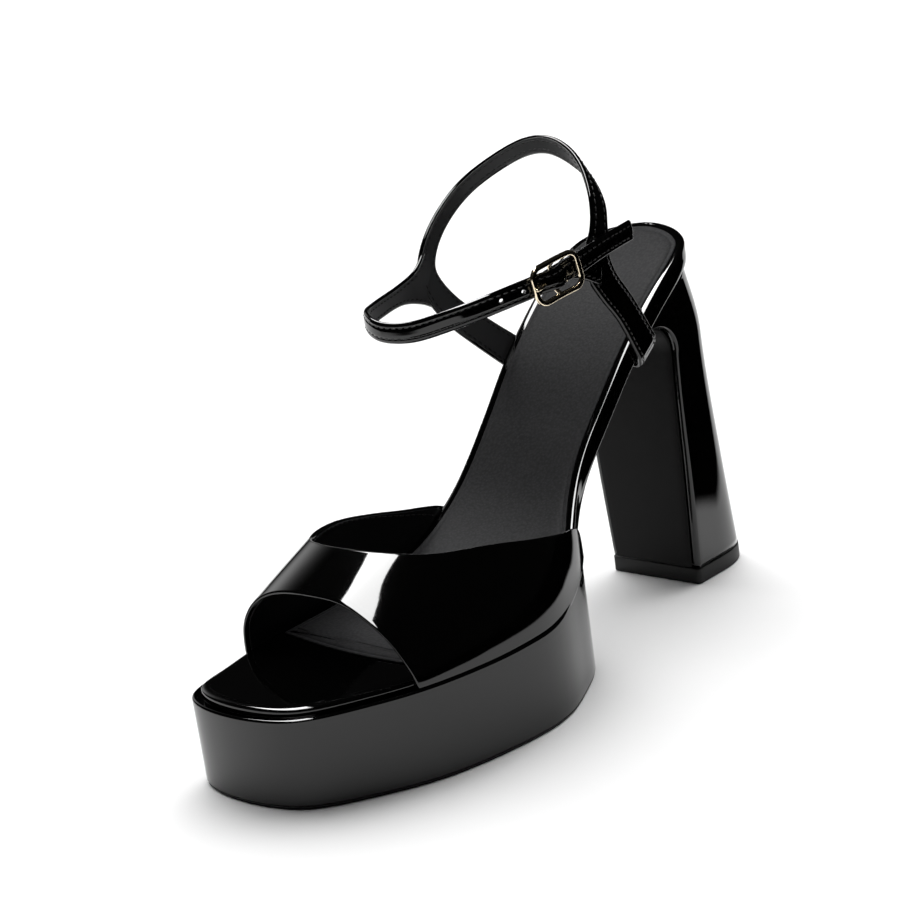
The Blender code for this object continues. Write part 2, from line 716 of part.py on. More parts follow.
def buckle(look):
    """Frame bowed a little over the strap, fused with a centre bar that dips under it."""
    centre, along, out, across = buckle_place()
    half_long = 0.5 * BUCKLE_LENGTH
    half_high = 0.5 * BUCKLE_HEIGHT
    corner = BUCKLE_CORNER
    plan = []
    for quarter, (sx, sy) in enumerate(((1, 1), (-1, 1), (-1, -1), (1, -1))):
        for turn in np.radians(np.linspace(0, 90, 5) + 90 * quarter):
            plan.append((sx * (half_long - corner) + corner * math.cos(turn),
                         sy * (half_high - corner) + corner * math.sin(turn)))
        if sx == sy:
            plan.extend((sx * a, sy * half_high) for a in BUCKLE_SIDE_POINTS)
    high = 0.5 * STRAP_THICKNESS + GAP + 0.5 * BUCKLE_WIRE
    points = []
    for a, b in plan:
        bow = BUCKLE_SADDLE * max(0.0, math.cos(0.5 * math.pi * a / half_long)) ** 2
        points.append(centre + a * along + b * across + (high - bow) * out)
    frame = tube("buckle_frame", points, 0.5 * BUCKLE_WIRE, look, True)
    bar_out = STRAP_RISE - 0.5 * STRAP_THICKNESS - GAP - 0.5 * BUCKLE_WIRE
    side_out = high - BUCKLE_SADDLE
    reach = half_high + BAR_OVERLAP
    dip = [(-reach, side_out), (-0.72 * half_high, bar_out), (0.72 * half_high, bar_out), (reach, side_out)]
    bar = tube("bar", [centre + b * across + o * out for b, o in dip], 0.5 * BUCKLE_WIRE, look, False)
    pin_low = STRAP_RISE + 0.5 * STRAP_THICKNESS + GAP + 0.5 * PIN_DIAMETER
    pin_high = high + 0.5 * BUCKLE_WIRE + GAP + 0.5 * PIN_DIAMETER
    pin_climb = 0.4 * pin_low + 0.6 * pin_high
    steps = [(PIN_TAIL, pin_low), (-0.3 * half_long, pin_low), (-0.7 * half_long, pin_climb),
             (-half_long, pin_high), (-half_long - PIN_OVERHANG, pin_high)]
    pin = tube("buckle_pin", [centre + a * along + o * out for a, o in steps],
               0.5 * PIN_DIAMETER, look, False)
    return joined(frame, bar), pin


def centre_on_origin(solids):
    """Move all meshes so that the middle of their common box stands over the origin."""
    corners = [v.co for solid in solids for v in solid.data.vertices]
    low = Vector(min(c[k] for c in corners) for k in range(3))
    high = Vector(max(c[k] for c in corners) for k in range(3))
    move = Vector((-(low.x + high.x) / 2, -(low.y + high.y) / 2, -low.z))
    for solid in solids:
        for vertex in solid.data.vertices:
            vertex.co += move


def main():
    """Build every piece of the sandal."""
    for thing in list(bpy.data.objects):
        bpy.data.objects.remove(thing)
    patent = material("black patent", (0.012, 0.012, 0.012), 0.08)
    lining = material("dark grey lining", (0.05, 0.05, 0.052), 0.6)
    matte = material("matte black", (0.02, 0.02, 0.02), 0.5)
    rubber = material("black rubber", (0.02, 0.02, 0.02), 0.55)
    gold = material("pale gold", (0.78, 0.62, 0.38), 0.15, 1.0)
    quarter = strap("ankle_strap", QUARTER_PATH, STRAP_THICKNESS, patent)
    front = strap("front", FRONT_PATH, STRAP_THICKNESS - 0.1, patent, STRAP_RISE)
    tab = strap("tab", TAB_PATH, STRAP_THICKNESS - 0.4, patent)
    solids = [
        outsole(rubber), platform(patent), footbed(patent), sock_lining(lining), vamp(patent),
        joined(quarter, front, tab), heel(patent), breast_cover(matte), top_lift(rubber),
    ]
    solids.extend(buckle(gold))
    centre_on_origin(solids)


main()
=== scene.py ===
"""Platform sandal in black patent: fine surfaces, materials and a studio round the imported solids.

Shapes are worked out in millimetres in the shoe's own frame: x runs to the outer side of the left foot,
y runs back from the toe and z runs up from the floor. place() carries them to the frame's metres.
"""

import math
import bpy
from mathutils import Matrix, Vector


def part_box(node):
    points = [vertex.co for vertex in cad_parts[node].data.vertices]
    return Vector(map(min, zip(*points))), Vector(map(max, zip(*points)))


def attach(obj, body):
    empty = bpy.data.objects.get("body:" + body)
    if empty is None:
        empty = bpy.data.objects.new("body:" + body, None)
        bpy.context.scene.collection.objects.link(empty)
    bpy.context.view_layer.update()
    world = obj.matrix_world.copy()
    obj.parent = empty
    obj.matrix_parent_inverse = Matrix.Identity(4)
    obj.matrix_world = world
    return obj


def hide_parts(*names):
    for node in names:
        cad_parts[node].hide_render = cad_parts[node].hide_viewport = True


bl_info = {
    "name": "Platform sandal",
    "version": (1, 0, 0),
    "blender": (4, 5, 0),
    "location": "3D View > Sidebar > Sandal",
    "description": "Builds a patent platform sandal with a block heel and a buckled ankle strap",
    "category": "Object",
}

import bmesh
import bpy
import numpy as np
from bpy.props import FloatProperty, FloatVectorProperty, PointerProperty
from mathutils import Matrix, Vector

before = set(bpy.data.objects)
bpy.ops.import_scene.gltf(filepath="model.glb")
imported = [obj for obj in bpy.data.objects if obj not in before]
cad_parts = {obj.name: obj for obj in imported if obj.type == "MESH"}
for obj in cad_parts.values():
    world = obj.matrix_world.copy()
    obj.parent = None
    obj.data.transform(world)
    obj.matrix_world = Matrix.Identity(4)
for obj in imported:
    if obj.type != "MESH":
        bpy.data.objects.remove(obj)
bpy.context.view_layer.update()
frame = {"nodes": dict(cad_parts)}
BODY = "root"
# One millimetre and the weld distance in metres
MM = 0.001
MERGE = 2e-6
# Gap between solids and between layers that lie on each other, in millimetres
GAP = 0.3
SKIN = 0.02

# Footbed: plan outline, toe tip first, round the outer side to the heel and back along the inner side
FOOTBED_OUTLINE = [
    # place, x, y
    ("toe tip", -8.9, 2.8),
    ("outer toe corner", 13.1, 7.0),
    ("outer toe side", 27.0, 22.0),
    ("outer forefoot", 40.3, 47.0),
    ("outer ball", 46.4, 84.0),
    ("outer ball rear", 39.2, 112.0),
    ("outer waist", 24.2, 140.0),
    ("outer arch", 23.8, 170.0),
    ("outer heel", 23.0, 207.2),
    ("outer heel corner", 15.1, 220.5),
    ("heel end", -2.6, 226.2),
    ("inner heel corner", -20.4, 220.5),
    ("inner heel", -28.1, 207.2),
    ("inner arch", -27.9, 170.0),
    ("inner waist", -26.5, 140.0),
    ("inner ball rear", -28.0, 112.0),
    ("inner ball", -32.6, 84.0),
    ("inner forefoot", -33.0, 47.0),
    ("inner toe side", -29.8, 22.0),
    ("inner toe corner", -25.9, 7.0),
]
# Footbed: height of its top edge, thickness of the board and depth of the hollow, along the shoe
FOOTBED_PROFILE = [
    # y, top, thickness, hollow
    (0.0, 31.2, 4.0, 0.0),
    (40.0, 32.8, 4.0, 0.2),
    (75.0, 34.0, 4.3, 0.5),
    (95.0, 36.5, 5.4, 0.9),
    (112.0, 43.3, 7.2, 1.2),
    (130.0, 55.0, 9.2, 1.4),
    (150.0, 74.5, 10.2, 1.6),
    (170.0, 95.0, 10.0, 1.8),
    (190.0, 111.0, 9.2, 1.8),
    (208.0, 121.5, 8.4, 1.2),
    (225.5, 129.0, 8.0, 0.0),
]
# Round edge of the footbed board: inset from the outline and share of the thickness
BOARD_EDGE = [
    # inset, share of thickness
    (1.9, 0.00),
    (0.6, 0.08),
    (0.0, 0.30),
    (0.0, 0.80),
    (0.3, 0.95),
    (1.2, 1.00),
]
EDGE_INSET = BOARD_EDGE[-1][0]
# Platform: the closed rear of the block, outer side first
PLATFORM_REAR = [
    # x, y
    (41.9, 109.6),
    (27.7, 130.2),
    (-2.0, 140.0),
    (-25.0, 133.0),
    (-31.5, 111.0),
]
PLATFORM_FORE_POINTS = 5
# Vamp: height of the crest of the last and its shift to one side, along the shoe
VAMP_CREST = [
    # y, crest, shift as a share of the half width
    (20.0, 46.0, 0.05),
    (40.0, 56.6, 0.03),
    (60.0, 66.4, -0.05),
    (80.0, 76.0, -0.13),
    (130.0, 100.0, -0.21),
]
# Vamp: front and rear edge along the girth, from the outer foot over the crest to the inner foot
VAMP_EDGES = [
    # girth, front y, rear y
    (0.00, 37.4, 124.0),
    (0.06, 36.7, 122.3),
    (0.12, 36.0, 108.0),
    (0.22, 35.5, 83.3),
    (0.30, 35.3, 67.3),
    (0.40, 35.7, 57.6),
    (0.50, 36.2, 54.9),
    (0.60, 36.0, 55.9),
    (0.70, 35.4, 60.8),
    (0.80, 34.4, 73.5),
    (0.88, 33.3, 91.5),
    (0.95, 33.0, 111.5),
    (1.00, 33.0, 130.5),
]
VAMP_FOOT_OFFSET = 2.2
VAMP_ROUND_OUTER = 2.09
VAMP_ROUND_INNER = 3.4
VAMP_BLEND = (0.30, 0.72)
# Heel: half width at each height
HEEL_WIDTHS = [
    # height, half width
    (0.0, 19.5),
    (45.0, 21.7),
    (80.0, 22.9),
    (100.0, 24.2),
    (125.0, 25.4),
]
HEEL_FRONT_Y = 203.4
HEEL_REAR_BOTTOM_Y = 239.5
HEEL_REAR_TOP_Y = 225.5
HEEL_BOTTOM_X = 0.6
HEEL_TOP_X = -2.8
HEEL_FILLET = 12.0
HEEL_REAR_BOW = 1.6
HEEL_STRAIGHT_SIDE = 0.35
HEEL_REAR_ROUND_BOTTOM = 2.8
HEEL_REAR_ROUND_TOP = 2.4
FILLET_SEARCH_STEPS = 40
COVER_FRONT_Y = 151.0
COVER_ARCH_INSET = 4.0
LIFT_PROUD = 0.4
# Straps: centre line, the way the face looks in plan (degrees from +x towards +y) and the width
QUARTER_PATH = [
    # x, y, z, facing, width; outer leg, back strap, inner leg
    (25.2, 181.5, 96.0, 0.0, 11.8),
    (26.7, 170.6, 112.1, 0.0, 11.0),
    (28.3, 160.6, 123.2, 0.0, 11.6),
    (29.1, 155.3, 132.6, -5.0, 12.4),
    (29.5, 157.7, 142.2, -14.0, 7.4),
    (27.3, 161.2, 151.7, -8.0, 7.0),
    (18.4, 167.1, 160.8, 14.0, 6.6),
    (3.4, 172.3, 167.0, 72.0, 6.4),
    (-10.0, 174.3, 167.1, 96.0, 6.4),
    (-23.4, 173.0, 162.2, 125.0, 6.3),
    (-34.2, 165.8, 154.5, 152.0, 6.4),
    (-38.5, 156.2, 145.4, 167.0, 6.6),
    (-39.5, 148.4, 135.7, 176.0, 7.6),
    (-39.3, 146.3, 126.0, 180.0, 9.4),
    (-37.0, 152.5, 114.0, 183.0, 10.8),
    (-32.8, 163.4, 102.4, 186.0, 11.8),
    (-29.3, 176.8, 90.4, 186.0, 12.8),
]
FRONT_PATH = [
    # x, y, z, facing, width; root on the inner leg, round the front, free end on the outer side
    (-39.6, 148.3, 125.7, 179.0, 24.0),
    (-38.6, 140.0, 124.9, 181.0, 12.8),
    (-36.9, 128.5, 124.7, 188.0, 7.4),
    (-31.4, 111.2, 124.0, 210.0, 7.0),
    (-25.7, 101.0, 123.7, 232.0, 7.0),
    (-15.1, 96.2, 121.9, 256.0, 7.0),
    (-3.0, 97.9, 122.0, 284.0, 7.0),
    (9.7, 103.0, 125.3, 308.0, 7.0),
    (17.7, 109.0, 127.9, 318.0, 7.0),
    (24.3, 116.6, 130.3, 328.0, 7.0),
    (28.4, 124.5, 131.9, 336.0, 7.0),
    (30.5, 131.1, 133.1, 344.0, 7.0),
    (32.7, 142.0, 135.4, 352.0, 7.0),
    (33.2, 153.5, 137.8, 360.0, 7.0),
    (31.8, 170.9, 139.4, 368.0, 7.0),
]
TAB_PATH = [
    # x, y, z, facing, width; short tab from the outer leg to the buckle's bar
    (29.0, 156.5, 132.1, -4.0, 15.5),
    (28.9, 148.6, 133.3, -4.0, 10.6),
    (28.8, 140.9, 133.5, -8.0, 7.6),
    (27.7, 131.0, 132.3, -16.0, 6.2),
]
BUCKLE_ROW = 11
# Punched holes in the front strap: distance from the buckle's middle
HOLE_PLACES = (-12.0, -19.5)
# Softboxes overhead: place over the shoe and size in metres, turn of the length from +x in degrees
SOFTBOXES = [
    # name, x, y, z, width, length, turn, brightness
    ("overhead_strip", -0.41, 0.054, 1.0, 0.29, 1.3, -42.0, 20.0),
]
# Panels that only polished faces see: bearing from +x towards +y and rise in degrees, sizes in metres
PANELS = [
    # name, bearing, rise, distance, width, height, strength
    ("back_panel", 138.0, 1.0, 3.0, 4.2, 1.3, 1.3),
    ("side_panel", 168.0, 22.0, 2.0, 1.2, 1.5, 1.3),
]
# Black card on the floor round the set: its middle and its opening, in shoe millimetres
CARD_MIDDLE = (-60.0, 30.0)
CARD_OPENING = [
    # bearing from +x towards +y, radius, share of the radius over which its edge fades
    (0.0, 280.0, 0.08),
    (20.0, 290.0, 0.08),
    (40.0, 275.0, 0.08),
    (56.0, 256.0, 0.08),
    (64.0, 264.0, 0.1),
    (70.0, 300.0, 0.2),
    (77.0, 430.0, 0.4),
    (85.0, 2000.0, 0.5),
    (95.0, 20000.0, 0.5),
    (175.0, 20000.0, 0.5),
    (185.0, 2000.0, 0.3),
    (195.0, 500.0, 0.15),
    (215.0, 400.0, 0.15),
    (270.0, 420.0, 0.15),
    (300.0, 420.0, 0.15),
    (320.0, 370.0, 0.1),
    (340.0, 290.0, 0.08),
    (360.0, 280.0, 0.08),
]
CARD_REACH = 39000.0
CARD_LIFT = 0.5
CARD_FADE_STEPS = 9
CARD_FADE_WHITE = 0.9
# Floor and wall of the set in metres
FLOOR_RINGS = (0.0, 0.5, 2.0, 8.0, 40.0)
FLOOR_DROP = 0.00005
WALL_RADIUS = 9.0
WALL_HEIGHTS = (-0.1, 4.0)
STUDIO_DARK = 0.01
BLACK = (0.0, 0.0, 0.0)
WHITE = (1.0, 1.0, 1.0, 1.0)
SENSOR_WIDTH = 36.0
# Ends of the quarter strap, turned under the board: run past the path's end, and turn in degrees
CURL = [
    # run, turn
    (0.0, 0.0),
    (1.0, 19.0),
    (4.0, 23.0),
    (6.0, 75.0),
    (8.4, 125.0),
]
# Edge of the sock lining: step in from its outline and share of its thickness, with a pressed border line
SOCK_EDGE = [
    # step, share
    (0.0, 0.0),
    (0.0, 0.35),
    (0.06, 0.5),
    (0.2, 0.58),
    (0.5, 0.6),
    (1.3, 0.6),
    (1.55, 0.4),
    (1.8, 0.62),
    (2.2, 0.8),
    (3.0, 0.92),
    (4.5, 1.0),
]
SOCK_LIFT = 0.05
SOCK_BOW = 2.5
# Small rounds in millimetres
OUTSOLE_ROUND = 0.6
PLATFORM_TUCK = 0.3
LIFT_ROUND = 0.5
COVER_ROUND = 0.6
COVER_BAND = 3.0
COVER_FOOT = 0.4
COVER_LIFT = 0.05
COVER_BLEND_ROWS = 12
# Board edge: its upper round is trimmed all round and softer towards the toe
EDGE_TRIM = 0.45
TOE_SOFTNESS = 2.0
TOE_SOFT_Y = 90.0
TOE_SOFT_RUN = 50.0
# Straps and vamp: swell and seam groove of the face, trims and depths of lining and stitches
STRAP_PAD = 0.25
STRAP_GROOVE = 0.18
GROOVE_WIDTH = 0.45
STRAP_LINING_TRIM = 0.7
STRAP_LINING_SUNK = 0.15
STITCH_PROUD = 0.05
LINING_STITCH_SUNK = 0.12
VAMP_LINING_MARGIN = 1.6
VAMP_STITCH_LIFT = 0.1
VAMP_SEAM_COLUMN = -3
CUTTER_LENGTH = 8.0
CUTTER_SIDES = 40
HOLE_EDGE_ANGLE = 50.0
# Buckle: strap thickness and wire of the solids that it sits on, then its own small sizes
SOLID_STRAP = 2.0
SOLID_WIRE = 1.6
FRAME_BEVEL = 0.35
FRAME_CROWN = 0.08
FRAME_EDGE_ANGLE = 40.0
BAR_RADIUS = 0.75
BAR_CLIMB = 0.62
PIN_RISE = [
    # along the strap from the buckle's middle, height over the strap's face
    (-4.2, -0.9),
    (-5.0, 0.9),
    (-6.0, 1.7),
]
PIN_LANDING = 0.84
PIN_LANDING_DROP = 0.1
PIN_OVERHANG = 1.0
PIN_TIP = (0.95, 0.85, 0.62, 0.02)
# How finely the surfaces are divided
OUTLINE_STEPS = 24
STRAP_STEPS = 22
ROUND_STEPS = 8
CAP_STEPS = 24
BOARD_STEPS = 40
SOCK_STEPS = 60
HEEL_SIDE_STEPS = 8
HEEL_BACK_STEPS = 41
BREAST_STEPS = 40
FILLET_STEPS = 28
ARCH_STEPS = 30
VAMP_GIRTH_STEPS = 180
VAMP_LENGTH_STEPS = 60
VAMP_EDGE_STEPS = 121
CURL_STEPS = 29
STRAP_FACE_STEPS = 41
STRAP_BACK_STEPS = 13
STITCH_STEPS = 7
STITCH_SIDES = 8
FRAME_STEPS = 160
BAR_STEPS = 33
WIRE_SIDES = 16
RING_STEPS = 96
PANEL_STEPS = 33
CARD_STEPS = 720
# How often lines are averaged with their neighbours
OUTLINE_EASING = 12
VAMP_EASING = 6
STRAP_EASING = 20


def linear(code):
    """Linear colour of an sRGB hex value."""
    channels = [int(code[i:i + 2], 16) / 255 for i in (1, 3, 5)]
    return tuple(c / 12.92 if c <= 0.04045 else ((c + 0.055) / 1.055) ** 2.4 for c in channels)


def mm(length):
    """Millimetres of a length in metres."""
    return length / MM


def column(rows, index):
    """One column of a table."""
    return np.array([row[index] for row in rows], float)


def smooth(xs, ys, x):
    """Cubic curve through the table's points, read at x, with the slopes of its neighbours."""
    slopes = np.gradient(ys, xs)
    x = np.clip(x, xs[0], xs[-1])
    i = np.clip(np.searchsorted(xs, x) - 1, 0, len(xs) - 2)
    span = xs[i + 1] - xs[i]
    t = (x - xs[i]) / span
    start = (2 * t**3 - 3 * t**2 + 1) * ys[i] + (t**3 - 2 * t**2 + t) * span * slopes[i]
    end = (3 * t**2 - 2 * t**3) * ys[i + 1] + (t**3 - t**2) * span * slopes[i + 1]
    return start + end


def through(points, steps, closed):
    """Curve through the points: each span is the cubic that starts and ends along neighbours' chords."""
    points = np.asarray(points, float)
    if closed:
        chain = np.concatenate([points[-1:], points, points[:2]])
    else:
        chain = np.concatenate([2 * points[:1] - points[1:2], points, 2 * points[-1:] - points[-2:-1]])
    a, b, c, d = (chain[k:len(chain) - 3 + k, None] for k in range(4))
    t = (np.arange(steps) / steps)[None, :, None]
    curve = 0.5 * (2 * b + (c - a) * t + (2 * a - 5 * b + 4 * c - d) * t**2
                   + (3 * b - a - 3 * c + d) * t**3)
    curve = curve.reshape(-1, points.shape[1])
    return curve if closed else np.concatenate([curve, points[-1:]])


def eased(curve, passes, closed):
    """Curve with each point averaged with its two neighbours so many times; open ends stay."""
    for _ in range(passes):
        if closed:
            curve = 0.25 * np.roll(curve, 1, 0) + 0.5 * curve + 0.25 * np.roll(curve, -1, 0)
        else:
            middle = 0.25 * curve[:-2] + 0.5 * curve[1:-1] + 0.25 * curve[2:]
            curve = np.concatenate([curve[:1], middle, curve[-1:]])
    return curve


def unit(vectors):
    """Vectors brought to length one."""
    return vectors / np.linalg.norm(vectors, axis=-1, keepdims=True)


def grown(outline, distance):
    """Closed plan outline moved outwards by a distance (inwards if negative)."""
    along = np.roll(outline, -1, 0) - np.roll(outline, 1, 0)
    return outline + distance * unit(np.column_stack([along[:, 1], -along[:, 0]]))


OUTLINE_POINTS = np.array([row[1:] for row in FOOTBED_OUTLINE])
FOOTBED_PLAN = eased(through(OUTLINE_POINTS, OUTLINE_STEPS, True), OUTLINE_EASING, True)


def profile_column(index, y):
    """One column of the footbed's profile, read along the shoe."""
    return smooth(column(FOOTBED_PROFILE, 0), column(FOOTBED_PROFILE, index), y)


def underside(y):
    """Height of the footbed board's underside."""
    return profile_column(1, y) - profile_column(2, y)


def footbed_side(y, outer, distance):
    """x of the footbed's outer or inner side at y, moved outwards by a distance."""
    outline = grown(FOOTBED_PLAN, distance)
    half = len(outline) // 2
    side = outline[:half + 1] if outer else outline[half:]
    side = side[np.argsort(side[:, 1])]
    return np.interp(y, side[:, 1], side[:, 0])


def footbed_height(x, y):
    """Height of the footbed's top at a point, hollowed as a parabola between its two edges."""
    outer = footbed_side(y, True, -EDGE_INSET)
    inner = footbed_side(y, False, -EDGE_INSET)
    off = np.clip(2 * (x - inner) / np.maximum(outer - inner, 1.0) - 1, -1, 1)
    return profile_column(1, y) - profile_column(3, y) * (1 - off**2)


def find_shift():
    """Move from the shoe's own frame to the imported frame, read from the top lift's box."""
    low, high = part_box("top_lift")
    x = 0.5 * mm(low.x + high.x) - HEEL_BOTTOM_X
    y = mm(low.y) - (HEEL_FRONT_Y - LIFT_PROUD)
    return np.array([x, y, 0.0])


SHIFT = find_shift()


def place(points):
    """Shoe millimetres to the frame's metres."""
    return (points + SHIFT) * MM


def surface(grid, wrap_rows=False, wrap_columns=False):
    """Points and quads of a grid of points, or of a stack of like grids; rows or columns may close."""
    grid = grid.reshape((-1,) + grid.shape[-3:])
    count, rows, columns = grid.shape[:3]
    i, j = np.meshgrid(np.arange(rows if wrap_rows else rows - 1),
                       np.arange(columns if wrap_columns else columns - 1), indexing="ij")
    k = (i + 1) % rows
    m = (j + 1) % columns
    quads = np.stack([i * columns + j, i * columns + m, k * columns + m, k * columns + j], axis=-1)
    starts = np.arange(count) * rows * columns
    return grid.reshape(-1, 3), (quads.reshape(1, -1, 4) + starts[:, None, None]).reshape(-1, 4)


def make_piece(name, surfaces, look, slot, *nodes):
    """Mesh piece from surfaces that meet edge to edge: joined, turned outwards and set on the body."""
    starts = np.cumsum([0] + [len(points) for points, _ in surfaces[:-1]])
    points = np.concatenate([points for points, _ in surfaces])
    faces = np.concatenate([quads + start for (_, quads), start in zip(surfaces, starts)])
    mesh = bpy.data.meshes.new(name)
    mesh.from_pydata(place(points).tolist(), [], faces.tolist())
    work = bmesh.new()
    work.from_mesh(mesh)
    bmesh.ops.remove_doubles(work, verts=work.verts, dist=MERGE)
    bmesh.ops.recalc_face_normals(work, faces=work.faces)
    work.to_mesh(mesh)
    work.free()
    mesh.shade_smooth()
    mesh.materials.append(look)
    piece = bpy.data.objects.new(name, mesh)
    bpy.context.scene.collection.objects.link(piece)
    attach(piece, BODY)
    if nodes:
        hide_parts(*nodes)
    return piece


def rungs(edge, across):
    """Grid that closes an outline: rung i runs from point i to its mirror point, to a point at each end."""
    i = np.arange(len(edge) // 2 + 1)
    share = np.linspace(0, 1, across + 1)[None, :, None]
    return edge[i][:, None] * (1 - share) + edge[-i][:, None] * share


def capped(rings, top=None):
    """Surfaces of a stack of rings: its wall, its floor and its top, closed by rungs if no top is given."""
    top = rungs(rings[-1], CAP_STEPS) if top is None else top
    return [surface(rings, wrap_columns=True), surface(rungs(rings[0], CAP_STEPS)), surface(top)]


def walls(plans, heights):
    """Stack of outlines, one above the other, each with its own heights."""
    return np.stack([np.column_stack([plan, height]) for plan, height in zip(plans, heights)])


def quarter_round(steps):
    """Inset and drop of a quarter circle of radius one, from the wall round to the top."""
    turn = np.linspace(0, math.pi / 2, steps + 1)
    return 1 - np.cos(turn), 1 - np.sin(turn)


def grid_normals(grid):
    """Unit normals of a grid of points."""
    return unit(np.cross(np.gradient(grid, axis=0), np.gradient(grid, axis=1)))


def node(tree, kind, inputs=(), **settings):
    """Add a shader node with its settings; inputs pairs a socket with a value or an output to link."""
    made = tree.nodes.new(kind)
    for key, value in settings.items():
        setattr(made, key, value)
    for socket, value in dict(inputs).items():
        if isinstance(value, bpy.types.NodeSocket):
            tree.links.new(value, made.inputs[socket])
        else:
            made.inputs[socket].default_value = value
    return made


def new_material(name, colour, roughness, **extra):
    """Material with its node tree and Principled shader; extra names sockets with underscores."""
    made = bpy.data.materials.new(name)
    made.use_nodes = True
    tree = made.node_tree
    shader = tree.nodes["Principled BSDF"]
    shader.inputs["Base Color"].default_value = (*colour, 1.0)
    shader.inputs["Roughness"].default_value = roughness
    for key, value in extra.items():
        shader.inputs[key.replace("_", " ")].default_value = value
    return made, tree, shader


def per_metre(size):
    """Texture scale on Object coordinates that gives a pattern of this size in millimetres."""
    return 1 / (size * MM)


def patent_leather(finish):
    """Patent leather, lacquered and polished: deep black with mirror gloss, faintly wavy from lasting."""
    made, tree, shader = new_material("patent leather, lacquered", finish.patent, 0.05, IOR=1.5)
    place_node = node(tree, "ShaderNodeTexCoord").outputs["Object"]
    wave = node(tree, "ShaderNodeTexNoise",
                {"Vector": place_node, "Scale": per_metre(14.0), "Detail": 1.0})
    peel = node(tree, "ShaderNodeTexNoise",
                {"Vector": place_node, "Scale": per_metre(1.2), "Detail": 1.0})
    slow = node(tree, "ShaderNodeBump",
                {"Height": wave.outputs["Fac"], "Distance": 0.06 * MM, "Strength": 1.0})
    fine = node(tree, "ShaderNodeBump", {"Height": peel.outputs["Fac"], "Distance": 0.002 * MM,
                                         "Strength": 1.0, "Normal": slow.outputs["Normal"]})
    tree.links.new(fine.outputs["Normal"], shader.inputs["Normal"])
    return made


def grained(name, colour, roughness, gloss, grain, depth, mottle, painted_crease_shade=0.0):
    """Matte coated leather: pebbled grain of a size and depth in mm, with a faint mottle.

    The last argument paints the creases between the pebbles darker, as painted shade, and the pebble tops
    lighter by half as much, as painted light, so that the grain's relief shows in the colour. The grain is
    drawn a little coarse, so that it shows.
    """
    made, tree, shader = new_material(name, colour, roughness, Specular_IOR_Level=gloss)
    place_node = node(tree, "ShaderNodeTexCoord").outputs["Object"]
    cloud = node(tree, "ShaderNodeTexNoise",
                 {"Vector": place_node, "Scale": per_metre(9.0), "Detail": 3.0})
    dark = tuple(c * (1 - mottle) for c in colour)
    light = tuple(c * (1 + mottle) for c in colour)
    mix = node(tree, "ShaderNodeMix",
               {"Factor": cloud.outputs["Fac"], "A": (*dark, 1.0), "B": (*light, 1.0)}, data_type="RGBA")
    cells = node(tree, "ShaderNodeTexVoronoi", {"Vector": place_node, "Scale": per_metre(grain)},
                 feature="SMOOTH_F1")
    # Painted shade in the creases between the pebbles and painted light on their tops: the grain's relief
    # drawn into the base colour
    painted_grain_shade = node(tree, "ShaderNodeMapRange", {"Value": cells.outputs["Distance"], "From Min": 0.15,
                                               "From Max": 0.6, "To Min": 1 + 0.5 * painted_crease_shade,
                                               "To Max": 1 - painted_crease_shade})
    tint = node(tree, "ShaderNodeVectorMath", {0: mix.outputs["Result"], 1: painted_grain_shade.outputs["Result"]},
                operation="MULTIPLY")
    tree.links.new(tint.outputs["Vector"], shader.inputs["Base Color"])
    bump = node(tree, "ShaderNodeBump", {"Height": cells.outputs["Distance"], "Distance": depth * MM,
                                         "Strength": 1.0})
    tree.links.new(bump.outputs["Normal"], shader.inputs["Normal"])
    return made


def moulded_rubber(finish):
    """Moulded rubber: dull black with a fine even grit from the mould."""
    made, tree, shader = new_material("rubber, moulded", finish.rubber, 0.5, Specular_IOR_Level=0.3)
    place_node = node(tree, "ShaderNodeTexCoord").outputs["Object"]
    grit = node(tree, "ShaderNodeTexNoise",
                {"Vector": place_node, "Scale": per_metre(0.6), "Detail": 2.0})
    bump = node(tree, "ShaderNodeBump",
                {"Height": grit.outputs["Fac"], "Distance": 0.03 * MM, "Strength": 1.0})
    tree.links.new(bump.outputs["Normal"], shader.inputs["Normal"])
    return made


def plated_metal(finish):
    """Zinc casting plated pale gold and polished: clear reflections with the odd fine rub."""
    made, tree, shader = new_material("zinc casting, plated pale gold", finish.gold, 0.12, Metallic=1.0)
    place_node = node(tree, "ShaderNodeTexCoord").outputs["Object"]
    rub = node(tree, "ShaderNodeTexNoise",
               {"Vector": place_node, "Scale": per_metre(2.0), "Detail": 4.0})
    spread = node(tree, "ShaderNodeMapRange",
                  {"Value": rub.outputs["Fac"], "To Min": 0.08, "To Max": 0.2})
    tree.links.new(spread.outputs["Result"], shader.inputs["Roughness"])
    return made


def sewing_thread(name, colour, roughness):
    """Bonded polyester thread, twisted: satin black with a slanting ply."""
    made, tree, shader = new_material(name, colour, roughness)
    place_node = node(tree, "ShaderNodeTexCoord").outputs["Object"]
    ply = node(tree, "ShaderNodeTexNoise",
               {"Vector": place_node, "Scale": per_metre(0.3), "Detail": 1.0})
    bump = node(tree, "ShaderNodeBump",
                {"Height": ply.outputs["Fac"], "Distance": 0.03 * MM, "Strength": 1.0})
    tree.links.new(bump.outputs["Normal"], shader.inputs["Normal"])
    return made


LOOKS = {}


